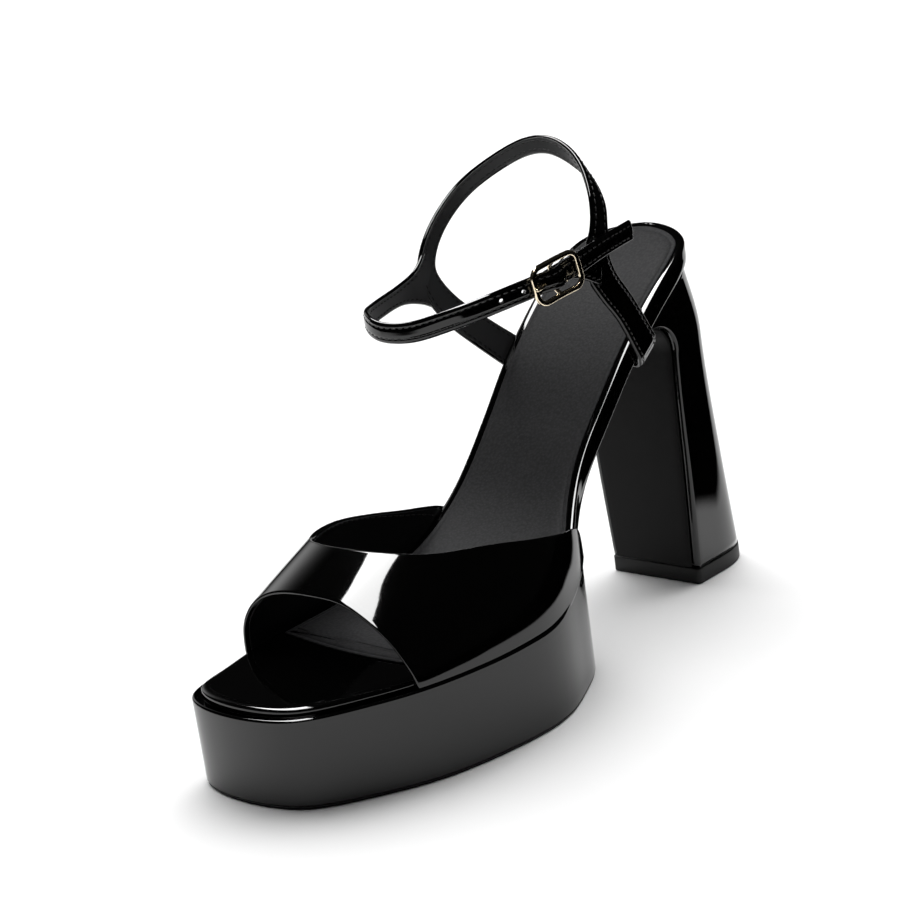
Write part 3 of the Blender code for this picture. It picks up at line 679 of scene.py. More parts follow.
def look(name):
    """Material of the sandal by its short name, made on first use."""
    finish = bpy.context.scene.sandal_finish
    # Grained leathers: name, colour, roughness, gloss, grain and depth in mm, mottle and painted crease
    # shade
    makers = {
        "patent": lambda: patent_leather(finish),
        "lining": lambda: grained("lining leather, embossed", finish.lining,
                                  0.5, 0.4, 0.6, 0.012, 0.08),
        # The vamp lining is the lining leather darkened as painted shade, for the vamp's inside, which lies
        # in shade
        "painted_shade_lining": lambda: grained("vamp lining leather, darkened as painted shade", finish.painted_shade_lining,
                                 0.45, 0.4, 0.6, 0.008, 0.06),
        # The sock's grain is drawn with painted crease shade and painted light on the pebble tops
        "sock": lambda: grained("sock leather, embossed", finish.sock,
                                0.5, 0.025, 0.9, 0.05, 0.07, 0.2),
        "breast": lambda: grained("cover leather, matte coated", finish.breast,
                                  0.5, 0.12, 0.45, 0.02, 0.05),
        "rubber": lambda: moulded_rubber(finish),
        "gold": lambda: plated_metal(finish),
        "thread": lambda: sewing_thread("polyester thread, twisted and waxed", finish.thread, 0.4),
        "dark_thread": lambda: sewing_thread("polyester thread, twisted", finish.dark_thread, 0.7),
    }
    if name not in LOOKS:
        LOOKS[name] = makers[name]()
    return LOOKS[name]


def platform_outline(overhang, distance):
    """Plan outline of the platform: the forefoot's outline grown by the overhang, closed at the rear."""
    wide = grown(OUTLINE_POINTS, overhang)
    fore = PLATFORM_FORE_POINTS
    rows = np.concatenate([wide[:fore], np.array(PLATFORM_REAR), wide[1 - fore:]])
    return grown(eased(through(rows, OUTLINE_STEPS, True), OUTLINE_EASING, True), distance)


def breast_profile(bottom):
    """Side view of the heel's front: up the breast, round the fillet to the footbed's underside."""
    low, high = COVER_FRONT_Y, HEEL_FRONT_Y
    for _ in range(FILLET_SEARCH_STEPS):
        y = 0.5 * (low + high)
        tilt = math.atan(underside(y + 0.5) - underside(y - 0.5))
        centre_y = y + HEEL_FILLET * math.sin(tilt)
        low, high = (low, y) if centre_y + HEEL_FILLET > HEEL_FRONT_Y else (y, high)
    centre_z = underside(y) - GAP - HEEL_FILLET * math.cos(tilt)
    rise = np.linspace(bottom, centre_z, BREAST_STEPS)
    turns = np.linspace(0, math.pi / 2 + tilt, FILLET_STEPS)[1:]
    arc = np.column_stack([centre_y + HEEL_FILLET * np.cos(turns),
                           centre_z + HEEL_FILLET * np.sin(turns)])
    return np.concatenate([np.column_stack([np.full(BREAST_STEPS, HEEL_FRONT_Y), rise]), arc])


def heel_rings(half, front, rear, middle, roundness, corner):
    """Heel sections, one row each: flat front, round corners, straight sides and a superellipse back.

    The back runs x = half cos(a)^(2/n), share = s + (1 - s) sin(a)^(2/n) from the straight side s.
    """
    depth = np.linalg.norm(rear - front, axis=1)[:, None]
    half = half[:, None]
    power = 2 / roundness[:, None]
    bend = np.linspace(0, math.pi / 2, ROUND_STEPS + 1)[None, :]
    sweep = np.linspace(0, math.pi / 2, HEEL_BACK_STEPS)[None, 1:]
    side = HEEL_STRAIGHT_SIDE
    flat = np.linspace(0, 1, HEEL_SIDE_STEPS)[None, :-1] * (half - corner)
    corner_x = half - corner + corner * np.sin(bend)
    corner_share = corner * (1 - np.cos(bend)) / depth
    run = np.linspace(0, 1, HEEL_SIDE_STEPS)[None, 1:]
    start = corner / depth
    side_share = start + (side - start) * run
    back_x = half * np.clip(np.cos(sweep), 0, 1) ** power
    back_share = side + (1 - side) * np.sin(sweep) ** power
    x = np.concatenate([flat, corner_x, half + 0 * side_share, back_x], axis=1)
    share = np.concatenate([0 * flat, corner_share, side_share, back_share], axis=1)
    x = np.concatenate([x, -x[:, -2:0:-1]], axis=1) + middle[:, None]
    share = np.concatenate([share, share[:, -2:0:-1]], axis=1)
    y = front[:, :1] + (rear - front)[:, :1] * share
    z = front[:, 1:] + (rear - front)[:, 1:] * share
    return np.stack([x, y, z], axis=-1)


def section_angle(girth, y):
    """Angle of a girth station of the vamp, seen from the middle of the foot's section at y."""
    middle, outer, inner, foot, rise = vamp_section(y)
    cosine = np.cos(math.pi * girth)
    power = 2 / np.where(cosine >= 0, VAMP_ROUND_OUTER, VAMP_ROUND_INNER)
    reach = np.where(cosine >= 0, outer, inner)
    flat = np.sign(cosine) * reach * np.abs(cosine) ** power
    return np.arctan2(rise * np.abs(np.sin(math.pi * girth)) ** power, flat)


def vamp_section(y):
    """Middle, outer and inner reach, foot height and rise of the last's section at y."""
    outer = footbed_side(y, True, VAMP_FOOT_OFFSET)
    inner = footbed_side(y, False, VAMP_FOOT_OFFSET)
    foot = underside(y)
    crest = smooth(column(VAMP_CREST, 0), column(VAMP_CREST, 1), y)
    shift = smooth(column(VAMP_CREST, 0), column(VAMP_CREST, 2), y)
    middle = 0.5 * (outer + inner) + shift * 0.5 * (outer - inner)
    return middle, outer - middle, middle - inner, foot, crest - foot


def vamp_face(angle, y):
    """Outer face of the vamp: a superellipse in polar form, r = (|cos/a|^n + |sin/b|^n)^(-1/n).

    Its reach a and its roundness n pass smoothly from the outer side's values to the inner side's.
    """
    middle, outer, inner, foot, rise = vamp_section(y)
    share = np.clip((angle / math.pi - VAMP_BLEND[0]) / (VAMP_BLEND[1] - VAMP_BLEND[0]), 0, 1)
    share = share**2 * (3 - 2 * share)
    n = VAMP_ROUND_OUTER + (VAMP_ROUND_INNER - VAMP_ROUND_OUTER) * share
    reach = outer + (inner - outer) * share
    radius = ((np.abs(np.cos(angle)) / reach) ** n + (np.abs(np.sin(angle)) / rise) ** n) ** (-1 / n)
    return np.stack([middle + radius * np.cos(angle), y, foot + radius * np.sin(angle)], axis=-1)


def vamp_sheet(depth, thickness, margin):
    """Closed sheet under the vamp's face: outer side, round rear edge, inner side, round front edge.

    depth is how far its outer side lies under the face, and margin how far its edges stay inside
    the vamp's.
    """
    girth = np.linspace(0, 1, VAMP_EDGE_STEPS)
    stations = column(VAMP_EDGES, 0)
    edges = []
    for index in (1, 2):
        y = smooth(stations, column(VAMP_EDGES, index), girth)
        edges.append((section_angle(girth, y), y))
    angle = np.linspace(0, math.pi, VAMP_GIRTH_STEPS + 1)
    front = np.interp(angle, *edges[0])
    rear = np.interp(angle, *edges[1])
    front = eased(front[:, None], VAMP_EASING, False)[:, 0] + margin
    rear = eased(rear[:, None], VAMP_EASING, False)[:, 0] - margin
    share = np.linspace(0, 1, VAMP_LENGTH_STEPS + 1)
    y = front[:, None] + (rear - front)[:, None] * share
    face = vamp_face(np.repeat(angle[:, None], len(share), axis=1), y)
    normal = grid_normals(face)
    normal = normal if normal[VAMP_GIRTH_STEPS // 2, 0, 2] > 0 else -normal
    normal[[0, -1], :, 2] = 0
    normal = unit(normal)
    outer = face - depth * normal
    inner = outer - thickness * normal
    radius = 0.5 * thickness
    turn = np.linspace(0, math.pi, 2 * ROUND_STEPS + 1)[1:-1][None, :, None]
    rear_way = unit(outer[:, -1] - outer[:, -2])[:, None]
    front_way = unit(outer[:, 0] - outer[:, 1])[:, None]
    rear_roll = (outer[:, -1:] - radius * (1 - np.cos(turn)) * normal[:, -1:]
                 + radius * np.sin(turn) * rear_way)
    front_roll = (inner[:, :1] + radius * (1 - np.cos(turn)) * normal[:, :1]
                  + radius * np.sin(turn) * front_way)
    loop = np.concatenate([outer, rear_roll, inner[:, ::-1], front_roll], axis=1)
    caps = [np.stack([outer[k], inner[k]]) for k in (0, -1)]
    return loop, caps, inner, normal


def strap_frame(rows, rise=0.0, rise_span=1.0):
    """Centre line of a strap, its along, out and across directions and its widths.

    rise lifts it over the buckle's bar as a cosine squared that reaches rise_span to each side.
    """
    table = np.array(rows, float)
    line = eased(through(table[:, :3], STRAP_STEPS, False), STRAP_EASING, False)
    rest = eased(through(table[:, 3:], STRAP_STEPS, False), STRAP_EASING, False)
    along = unit(np.gradient(line, axis=0))
    facing = np.radians(rest[:, 0])
    out = np.column_stack([np.cos(facing), np.sin(facing), 0 * facing])
    out = unit(out - np.sum(out * along, axis=1)[:, None] * along)
    if rise:
        run = run_from_buckle(line)
        wave = rise * np.cos(0.5 * math.pi * run / rise_span) ** 2
        lift = np.where(np.abs(run) < rise_span, wave, 0.0)
        line = line + lift[:, None] * out
        along = unit(np.gradient(line, axis=0))
        out = unit(out - np.sum(out * along, axis=1)[:, None] * along)
    return line, along, out, np.cross(along, out), rest[:, 1]


def curled(path):
    """Strap whose two ends go on as short steps that turn towards its inner side, under the board."""
    path = [row[1:-1] for row in path]
    line, along, out, across, width = path
    run = np.linspace(0, CURL[-1][0], CURL_STEPS)
    angle = np.radians(smooth(column(CURL, 0), column(CURL, 1), run))[1:, None]
    ends = []
    for end, sign in ((0, -1), (-1, 1)):
        way, face = sign * along[end], out[end]
        arc = line[end] + run[1] * np.cumsum(np.cos(angle) * way - np.sin(angle) * face, axis=0)
        heading = sign * (np.cos(angle) * way - np.sin(angle) * face)
        outward = np.cos(angle) * face + np.sin(angle) * way
        sideways = np.repeat(across[end][None], len(arc), axis=0)
        rows = (arc, heading, outward, sideways, np.full(len(arc), width[end]))
        ends.append([row[::sign] for row in rows])
    return [np.concatenate(parts) for parts in zip(ends[0], path, ends[1])]


def run_from_buckle(line):
    """Distance along the front strap from the buckle's middle."""
    run = np.concatenate([[0], np.cumsum(np.linalg.norm(np.diff(line, axis=0), axis=1))])
    return run - run[BUCKLE_ROW * STRAP_STEPS]


def strap_sheet(path, thickness, narrower=0.0, height=0.0, pad=0.0, groove=0.0, groove_inset=2.0):
    """Strap with round edges and round ends along a path.

    The section is a flat loop: a face that swells by pad and sinks by groove along its two seams, a half
    round edge on each side and a flat back. height moves it out of the path, narrower trims each edge.
    """
    line, along, out, across, width = path
    radius = 0.5 * thickness
    turn = np.linspace(0, math.pi / 2, ROUND_STEPS + 1)[1:]
    reach = radius * np.sin(turn)[:, None]
    line = np.concatenate([line[:1] - reach[::-1] * along[:1], line, line[-1:] + reach * along[-1:]])
    along, out, across = (np.pad(v, ((ROUND_STEPS, ROUND_STEPS), (0, 0)), mode="edge")
                          for v in (along, out, across))
    thin = np.concatenate([np.cos(turn)[::-1], np.ones(len(width)), np.cos(turn)])[:, None]
    half = np.pad(0.5 * width - narrower, ROUND_STEPS, mode="edge")[:, None]
    half = half - radius - radius * (1 - thin)
    share = np.linspace(-1, 1, STRAP_FACE_STEPS)[None, :]
    seam = half + radius - groove_inset
    face_u = half * share
    dip = np.exp(-((np.abs(face_u) - seam) / GROOVE_WIDTH) ** 2)
    face_h = radius + pad * (1 - share**4) - groove * dip
    bend = np.linspace(math.pi / 2, -math.pi / 2, 2 * ROUND_STEPS + 1)[None, 1:-1]
    edge_u = half + radius * np.cos(bend)
    edge_h = radius * np.sin(bend) + 0 * half
    back_u = half * np.linspace(1, -1, STRAP_BACK_STEPS)[None, :]
    back_h = -radius + 0 * back_u
    u = np.concatenate([face_u, edge_u, back_u, -edge_u[:, ::-1]], axis=1)
    h = np.concatenate([face_h, edge_h, back_h, edge_h[:, ::-1]], axis=1) * thin
    return line[:, None] + u[..., None] * across[:, None] + (h + height)[..., None] * out[:, None]


def stitches(line, along, out, pitch, length, thread):
    """Row of stitches: lozenges of thread at even steps along a line, their ends drawn down to points."""
    run = np.concatenate([[0], np.cumsum(np.linalg.norm(np.diff(line, axis=0), axis=1))])
    places = np.arange(0.5 * pitch, run[-1] - 0.4 * pitch, pitch)
    at = [np.column_stack([np.interp(places, run, v[:, k]) for k in range(3)])
          for v in (line, along, out)]
    centre, ahead, up = at[0], unit(at[1]), unit(at[2])
    side = np.cross(ahead, up)
    swing = np.linspace(0, math.pi, STITCH_STEPS)
    ring = np.linspace(0, 2 * math.pi, STITCH_SIDES, endpoint=False)
    reach = (-0.5 * length * np.cos(swing))[None, :, None, None]
    girth = (0.5 * thread * np.sin(swing) ** 0.6)[None, :, None, None]
    ahead, up, side, centre = (v[:, None, None] for v in (ahead, up, side, centre))
    dip = (-0.35 * thread * np.cos(swing) ** 2)[None, :, None, None]
    around = np.cos(ring)[None, None, :, None] * side + np.sin(ring)[None, None, :, None] * up
    return surface(centre + reach * ahead + girth * around + dip * up, wrap_columns=True)


def buckle_place():
    """Middle of the buckle on the strap with its along, out and across directions."""
    line, along, out, across, _ = strap_frame(FRONT_PATH)
    i = BUCKLE_ROW * STRAP_STEPS
    return line[i], along[i], out[i], across[i]


def evenly(outline, count):
    """Closed outline read again at so many even steps along its length."""
    closed = np.concatenate([outline, outline[:1]])
    run = np.concatenate([[0], np.cumsum(np.linalg.norm(np.diff(closed, axis=0), axis=1))])
    places = np.linspace(0, run[-1], count, endpoint=False)
    return np.column_stack([np.interp(places, run, closed[:, k]) for k in range(closed.shape[1])])


def wire(line, out, section, closed):
    """Section of (side, up) points carried along a line whose up leans to a given direction."""
    ahead = np.roll(line, -1, 0) - np.roll(line, 1, 0) if closed else np.gradient(line, axis=0)
    side = unit(np.cross(ahead, out))
    up = unit(np.cross(side, ahead))
    return line[:, None] + section[None, :, :1] * side[:, None] + section[None, :, 1:] * up[:, None]


def length_property(name, description, size):
    """Length with a default in millimetres."""
    return FloatProperty(name=name, description=description, default=size * MM, unit="LENGTH")


def colour_property(name, description, code):
    """Colour with a default given as an sRGB hex value."""
    return FloatVectorProperty(name=name, description=description, default=linear(code), subtype="COLOR")


class SoleSizes(bpy.types.PropertyGroup):
    """Sizes of the platform, the outsole and the sock lining."""

    overhang: length_property("Overhang", "How far the platform stands out past the footbed", 3.3)
    edge_radius: length_property("Edge radius", "Round of the platform's top edge", 0.8)
    lip: length_property("Lip", "How far the platform's rim stands up past the board's underside", 1.7)
    lip_width: length_property("Lip width", "Width of that rim", 1.0)
    outsole: length_property("Outsole", "Thickness of the rubber outsole", 1.2)
    outsole_inset: length_property("Outsole inset", "How far the outsole stays inside the wall", 0.3)
    sock_inset: length_property("Sock inset", "Distance of the sock lining from the board's edge", 3.2)
    sock_thickness: length_property("Sock thickness", "Thickness of the sock lining", 0.8)
    sock_front: length_property("Sock front", "Distance of the sock lining's front from the toe", 46.0)


class UpperSizes(bpy.types.PropertyGroup):
    """Sizes of the vamp, the straps and their seams."""

    vamp: length_property("Vamp", "Thickness of the vamp's patent wall", 1.5)
    lining: length_property("Lining", "Thickness of the linings", 0.4)
    strap: length_property("Strap", "Thickness of the straps", 1.7)
    pitch: length_property("Stitch pitch", "Distance from stitch to stitch", 2.5)
    stitch: length_property("Stitch length", "Length of one stitch", 1.9)
    thread: length_property("Thread", "Thickness of the sewing thread", 0.5)
    seam_inset: length_property("Seam inset", "Distance of the seams from the straps' edges", 1.7)
    hole: length_property("Hole", "Diameter of the punched holes", 1.5)


class HeelSizes(bpy.types.PropertyGroup):
    """Sizes of the heel, its cover and its top lift."""

    lift: length_property("Top lift", "Thickness of the rubber top lift", 6.0)
    corner: length_property("Corner", "Round of the heel's front corners", 1.6)
    cover: length_property("Cover", "Thickness of the matte cover on the heel's front", 0.9)
    margin: length_property("Cover margin", "Patent lip that shows beside the cover", 2.6)


class BuckleSizes(bpy.types.PropertyGroup):
    """Sizes of the buckle."""

    length: length_property("Length", "Length of the frame along the strap, middle to middle", 18.0)
    height: length_property("Height", "Height of the frame across the strap, middle to middle", 12.0)
    corner: length_property("Corner", "Radius of the frame's corners", 3.2)
    frame: length_property("Frame", "Width of the frame's flat face", 1.7)
    depth: length_property("Depth", "Thickness of the frame", 1.4)
    saddle: length_property("Saddle", "How far the frame bows down to its centre bar", 0.5)
    pin: length_property("Pin", "Diameter of the pin", 1.3)
    rise: length_property("Strap rise", "How far the strap lifts over the centre bar", 1.6)
    rise_span: length_property("Rise span", "Reach of that lift to each side", 6.5)


class Finish(bpy.types.PropertyGroup):
    """Colours of the sandal."""

    patent: colour_property("Patent", "Patent leather", "#020202")
    lining: colour_property("Lining", "Linings of the straps", "#2c2c2d")
    # Vamp lining: the lining colour darkened as painted shade of the vamp's inside
    painted_shade_lining: colour_property("Vamp lining", "Lining of the vamp", "#0e0e0f")
    sock: colour_property("Sock", "Sock lining", "#323233")
    breast: colour_property("Breast", "Cover on the heel's front", "#0c0c0c")
    rubber: colour_property("Rubber", "Outsole and top lift", "#0e0e0e")
    gold: colour_property("Gold", "Buckle", "#efe0c4")
    thread: colour_property("Thread", "Sewing thread", "#1c1c1c")
    dark_thread: colour_property("Dark thread", "Thread on the linings", "#070707")
    floor: colour_property("Floor", "Studio floor", "#f2f2f2")


class Studio(bpy.types.PropertyGroup):
    """Camera and light."""

    azimuth: FloatProperty(name="Azimuth", description="Camera's turn round the shoe from its toe",
                           default=math.radians(44.3), subtype="ANGLE")
    elevation: FloatProperty(name="Elevation", description="Camera's height over the floor as an angle",
                             default=math.radians(16.4), subtype="ANGLE")
    roll: FloatProperty(name="Roll", description="Lean of the picture to the left",
                        default=math.radians(8.1), subtype="ANGLE")
    distance: length_property("Distance", "Camera's distance from its target", 699.7)
    target: FloatVectorProperty(name="Target",
                                description="Point in the shoe's frame that the camera looks at",
                                default=(-20.3 * MM, 125.5 * MM, 72.0 * MM), subtype="TRANSLATION")
    lens: FloatProperty(name="Lens", description="Focal length on a 36 mm sensor, in millimetres",
                        default=81.93)
    silk: FloatProperty(name="Overhead silk", description="Strength of the wide overhead light",
                        default=6.2)
    silk_angle: FloatProperty(name="Silk angle", description="How wide the overhead light is",
                              default=math.radians(95), subtype="ANGLE")
    silk_side: FloatVectorProperty(name="Silk side", description="Where the overhead light comes from",
                                   default=(-0.40, 0.55, 0.73), subtype="DIRECTION")


class SANDAL_OT_outsole(bpy.types.Operator):
    """Rubber outsole: the platform's outline with a small round at its lower edge"""

    bl_idname = "sandal.outsole"
    bl_label = "Outsole"

    def execute(self, context):
        sizes = context.scene.sandal_sole
        inset, drop = quarter_round(4)
        edge = OUTSOLE_ROUND
        top = mm(sizes.outsole)
        offset = -mm(sizes.outsole_inset)
        plans = [platform_outline(mm(sizes.overhang), offset - edge * i) for i in inset[::-1]]
        plans.append(plans[-1])
        heights = [edge * d + 0 * plans[0][:, 0] for d in drop[::-1]] + [top + 0 * plans[0][:, 0]]
        rings = walls(plans, heights)
        make_piece("outsole_rubber", capped(rings), look("rubber"), "rubber", "outsole")
        return {"FINISHED"}


class SANDAL_OT_platform(bpy.types.Operator):
    """Platform block: a straight patent wall whose round lip stands up a little round the footbed"""

    bl_idname = "sandal.platform"
    bl_label = "Platform"

    def execute(self, context):
        sizes = context.scene.sandal_sole
        overhang = mm(sizes.overhang)
        radius = mm(sizes.edge_radius)
        lip, lip_width = mm(sizes.lip), mm(sizes.lip_width)
        bottom = mm(sizes.outsole) + SKIN
        tuck_inset, tuck_drop = quarter_round(6)
        tuck = PLATFORM_TUCK
        inset, drop = quarter_round(14)
        plans = [platform_outline(overhang, -tuck * i) for i in tuck_inset[::-1]]
        heights = [bottom + tuck * d + 0 * plans[0][:, 0] for d in tuck_drop[::-1]]
        crown = [platform_outline(overhang, -radius * i) for i in inset]
        tops = [underside(plan[:, 1]) + lip - radius * d for plan, d in zip(crown, drop)]
        share = np.linspace(0, 1, 12)[1:-1]
        plans += [crown[0]] * len(share) + crown
        heights += [heights[-1] + (tops[0] - heights[-1]) * s for s in share] + tops
        turn = np.linspace(0, 0.5 * math.pi, 7)[1:]
        back = 0.5 * (lip_width - radius)
        for a in turn:
            plans.append(platform_outline(overhang, -radius - back * math.sin(a)))
            heights.append(underside(plans[-1][:, 1]) + lip - back * (1 - math.cos(a)))
        plans.append(platform_outline(overhang, -lip_width))
        heights.append(underside(plans[-1][:, 1]) - GAP)
        rings = walls(plans, heights)
        top = rungs(rings[-1], BOARD_STEPS)
        top[..., 2] = underside(top[..., 1]) - GAP
        make_piece("platform_wrap", capped(rings, top), look("patent"), "patent", "platform")
        return {"FINISHED"}


class SANDAL_OT_insole(bpy.types.Operator):
    """Footbed board: the outline carried up a round patent edge, with a hollowed top"""

    bl_idname = "sandal.insole"
    bl_label = "Insole board"

    def execute(self, context):
        edge = through(BOARD_EDGE, 8, False)
        fore = np.clip((TOE_SOFT_Y - FOOTBED_PLAN[:, 1]) / TOE_SOFT_RUN, 0, 1)
        soft = (EDGE_TRIM + TOE_SOFTNESS * fore**2 * (3 - 2 * fore))[:, None]
        plans = [grown(FOOTBED_PLAN, -inset * (soft if share > 0.5 else 1.0)) for inset, share in edge]
        heights = [underside(plan[:, 1]) + share * profile_column(2, plan[:, 1])
                   for plan, share in zip(plans, edge[:, 1])]
        rings = walls(plans, heights)
        top = rungs(rings[-1], BOARD_STEPS)
        top[..., 2] = footbed_height(top[..., 0], top[..., 1])
        make_piece("insole_wrap", capped(rings, top), look("patent"), "patent", "insole")
        return {"FINISHED"}


class SANDAL_OT_sock_lining(bpy.types.Operator):
    """Sock lining: a thin sheet on the footbed with a pressed border line and a bowed front"""

    bl_idname = "sandal.sock_lining"
    bl_label = "Sock lining"

    def execute(self, context):
        sizes = context.scene.sandal_sole
        inset = mm(sizes.sock_inset)
        front = mm(sizes.sock_front)
        plan = grown(FOOTBED_PLAN, -inset)
        plan = plan[plan[:, 1] > front]
        low, high = plan[-1], plan[0]
        share = np.linspace(0, 1, 62)[1:-1, None]
        bow = np.column_stack([0 * share, -SOCK_BOW * np.sin(math.pi * share)])
        plan = np.concatenate([plan, low + (high - low) * share + bow])
        middle = len(plan) - len(share) // 2
        plan = np.roll(plan, -middle, axis=0)
        if len(plan) % 2:
            plan = np.delete(plan, 1, axis=0)
        thick = mm(sizes.sock_thickness)
        rings = []
        for step, share in SOCK_EDGE:
            ring = grown(plan, -step)
            z = footbed_height(ring[:, 0], ring[:, 1]) + SOCK_LIFT + thick * share
            rings.append(np.column_stack([ring, z]))
        rings = np.stack(rings)
        top = rungs(rings[-1], SOCK_STEPS)
        top[..., 2] = footbed_height(top[..., 0], top[..., 1]) + SOCK_LIFT + thick * SOCK_EDGE[-1][1]
        under = rungs(rings[0], SOCK_STEPS)
        under[..., 2] = footbed_height(under[..., 0], under[..., 1]) + SOCK_LIFT
        make_piece("sock_leather", [surface(rings, wrap_columns=True), surface(top), surface(under)],
                   look("sock"), "lining", "sock_lining")
        return {"FINISHED"}


class SANDAL_OT_vamp(bpy.types.Operator):
    """Vamp: a patent wall with rolled edges, its lining and the seam inside the throat"""

    bl_idname = "sandal.vamp"
    bl_label = "Vamp"

    def execute(self, context):
        sizes = context.scene.sandal_upper
        wall = mm(sizes.vamp)
        loop, caps, _, _ = vamp_sheet(0.0, wall, 0.5 * wall)
        make_piece("vamp_patent", [surface(loop, wrap_columns=True)] + [surface(cap) for cap in caps],
                   look("patent"), "patent", "vamp")
        # The vamp's lining takes the darkened lining colour: painted shade of the vamp's inside
        loop, caps, inner, normal = vamp_sheet(wall + SKIN, mm(sizes.lining), VAMP_LINING_MARGIN)
        make_piece("vamp_lining", [surface(loop, wrap_columns=True)] + [surface(cap) for cap in caps],
                   look("painted_shade_lining"), "lining")
        inward = -normal[2:-2, VAMP_SEAM_COLUMN]
        line = inner[2:-2, VAMP_SEAM_COLUMN] + VAMP_STITCH_LIFT * inward
        row = stitches(line, unit(np.gradient(line, axis=0)), inward,
                       mm(sizes.pitch), mm(sizes.stitch), mm(sizes.thread))
        make_piece("vamp_stitches", [row], look("thread"), "lining")
        return {"FINISHED"}


class SANDAL_OT_straps(bpy.types.Operator):
    """Ankle strap: quarter strap, front strap and tab in patent, each with lining and stitches"""

    bl_idname = "sandal.straps"
    bl_label = "Ankle straps"

    def execute(self, context):
        sizes = context.scene.sandal_upper
        buckle = context.scene.sandal_buckle
        thick = mm(sizes.strap)
        lining = mm(sizes.lining)
        seam = mm(sizes.seam_inset)
        paths = {
            "quarter": curled(strap_frame(QUARTER_PATH)),
            "front": strap_frame(FRONT_PATH, mm(buckle.rise), mm(buckle.rise_span)),
            "tab": strap_frame(TAB_PATH),
        }
        rows = {1: [], -1: []}
        for name, path in paths.items():
            line, along, out, across, width = path
            sheet = strap_sheet(path, thick, pad=STRAP_PAD, groove=STRAP_GROOVE, groove_inset=seam)
            nodes = ["ankle_strap"] if name == "quarter" else []
            patent = make_piece(name + "_patent", [surface(sheet, wrap_columns=True)],
                                look("patent"), "patent", *nodes)
            inside = -0.5 * thick - 0.5 * lining + STRAP_LINING_SUNK
            sheet = strap_sheet(path, lining, narrower=STRAP_LINING_TRIM, height=inside)
            strip = make_piece(name + "_lining", [surface(sheet, wrap_columns=True)],
                               look("lining"), "lining")
            if name == "front":
                self.punch(path, [patent, strip], mm(sizes.hole))
            for side in (-1, 1):
                for face in (1, -1):
                    shift = (0.5 * width - seam)[:, None] * side * across
                    proud = STITCH_PROUD if face > 0 else lining - LINING_STITCH_SUNK
                    high = 0.5 * thick + proud
                    rows[face].append(stitches(line + shift + face * high * out, along, face * out,
                                               mm(sizes.pitch), mm(sizes.stitch), mm(sizes.thread)))
        make_piece("strap_stitches", rows[1], look("thread"), "patent")
        make_piece("strap_lining_stitches", rows[-1], look("dark_thread"), "lining")
        return {"FINISHED"}

    def punch(self, path, pieces, diameter):
        """Cut the strap's holes right through with round cutters, and remove the cutters."""
        line, along, out, across, _ = path
        run = run_from_buckle(line)
        for distance in HOLE_PLACES:
            i = int(np.argmin(np.abs(run - distance)))
            mesh = bpy.data.meshes.new("cutter")
            work = bmesh.new()
            bmesh.ops.create_cone(work, cap_ends=True, segments=CUTTER_SIDES, radius1=0.5 * diameter * MM,
                                  radius2=0.5 * diameter * MM, depth=CUTTER_LENGTH * MM)
            turn = Matrix(np.column_stack([along[i], across[i], out[i]]).tolist()).to_4x4()
            spot = Matrix.Translation(Vector(place(line[i]))) @ turn
            bmesh.ops.transform(work, matrix=spot, verts=work.verts)
            bmesh.ops.recalc_face_normals(work, faces=work.faces)
            work.to_mesh(mesh)
            work.free()
            cutter = bpy.data.objects.new("cutter", mesh)
            bpy.context.scene.collection.objects.link(cutter)
            for piece in pieces:
                cut = piece.modifiers.new("hole", "BOOLEAN")
                cut.operation = "DIFFERENCE"
                cut.object = cutter
                graph = bpy.context.evaluated_depsgraph_get()
                punched = bpy.data.meshes.new_from_object(piece.evaluated_get(graph))
                piece.modifiers.clear()
                piece.data = punched
                punched.set_sharp_from_angle(angle=math.radians(HOLE_EDGE_ANGLE))
            bpy.data.objects.remove(cutter)


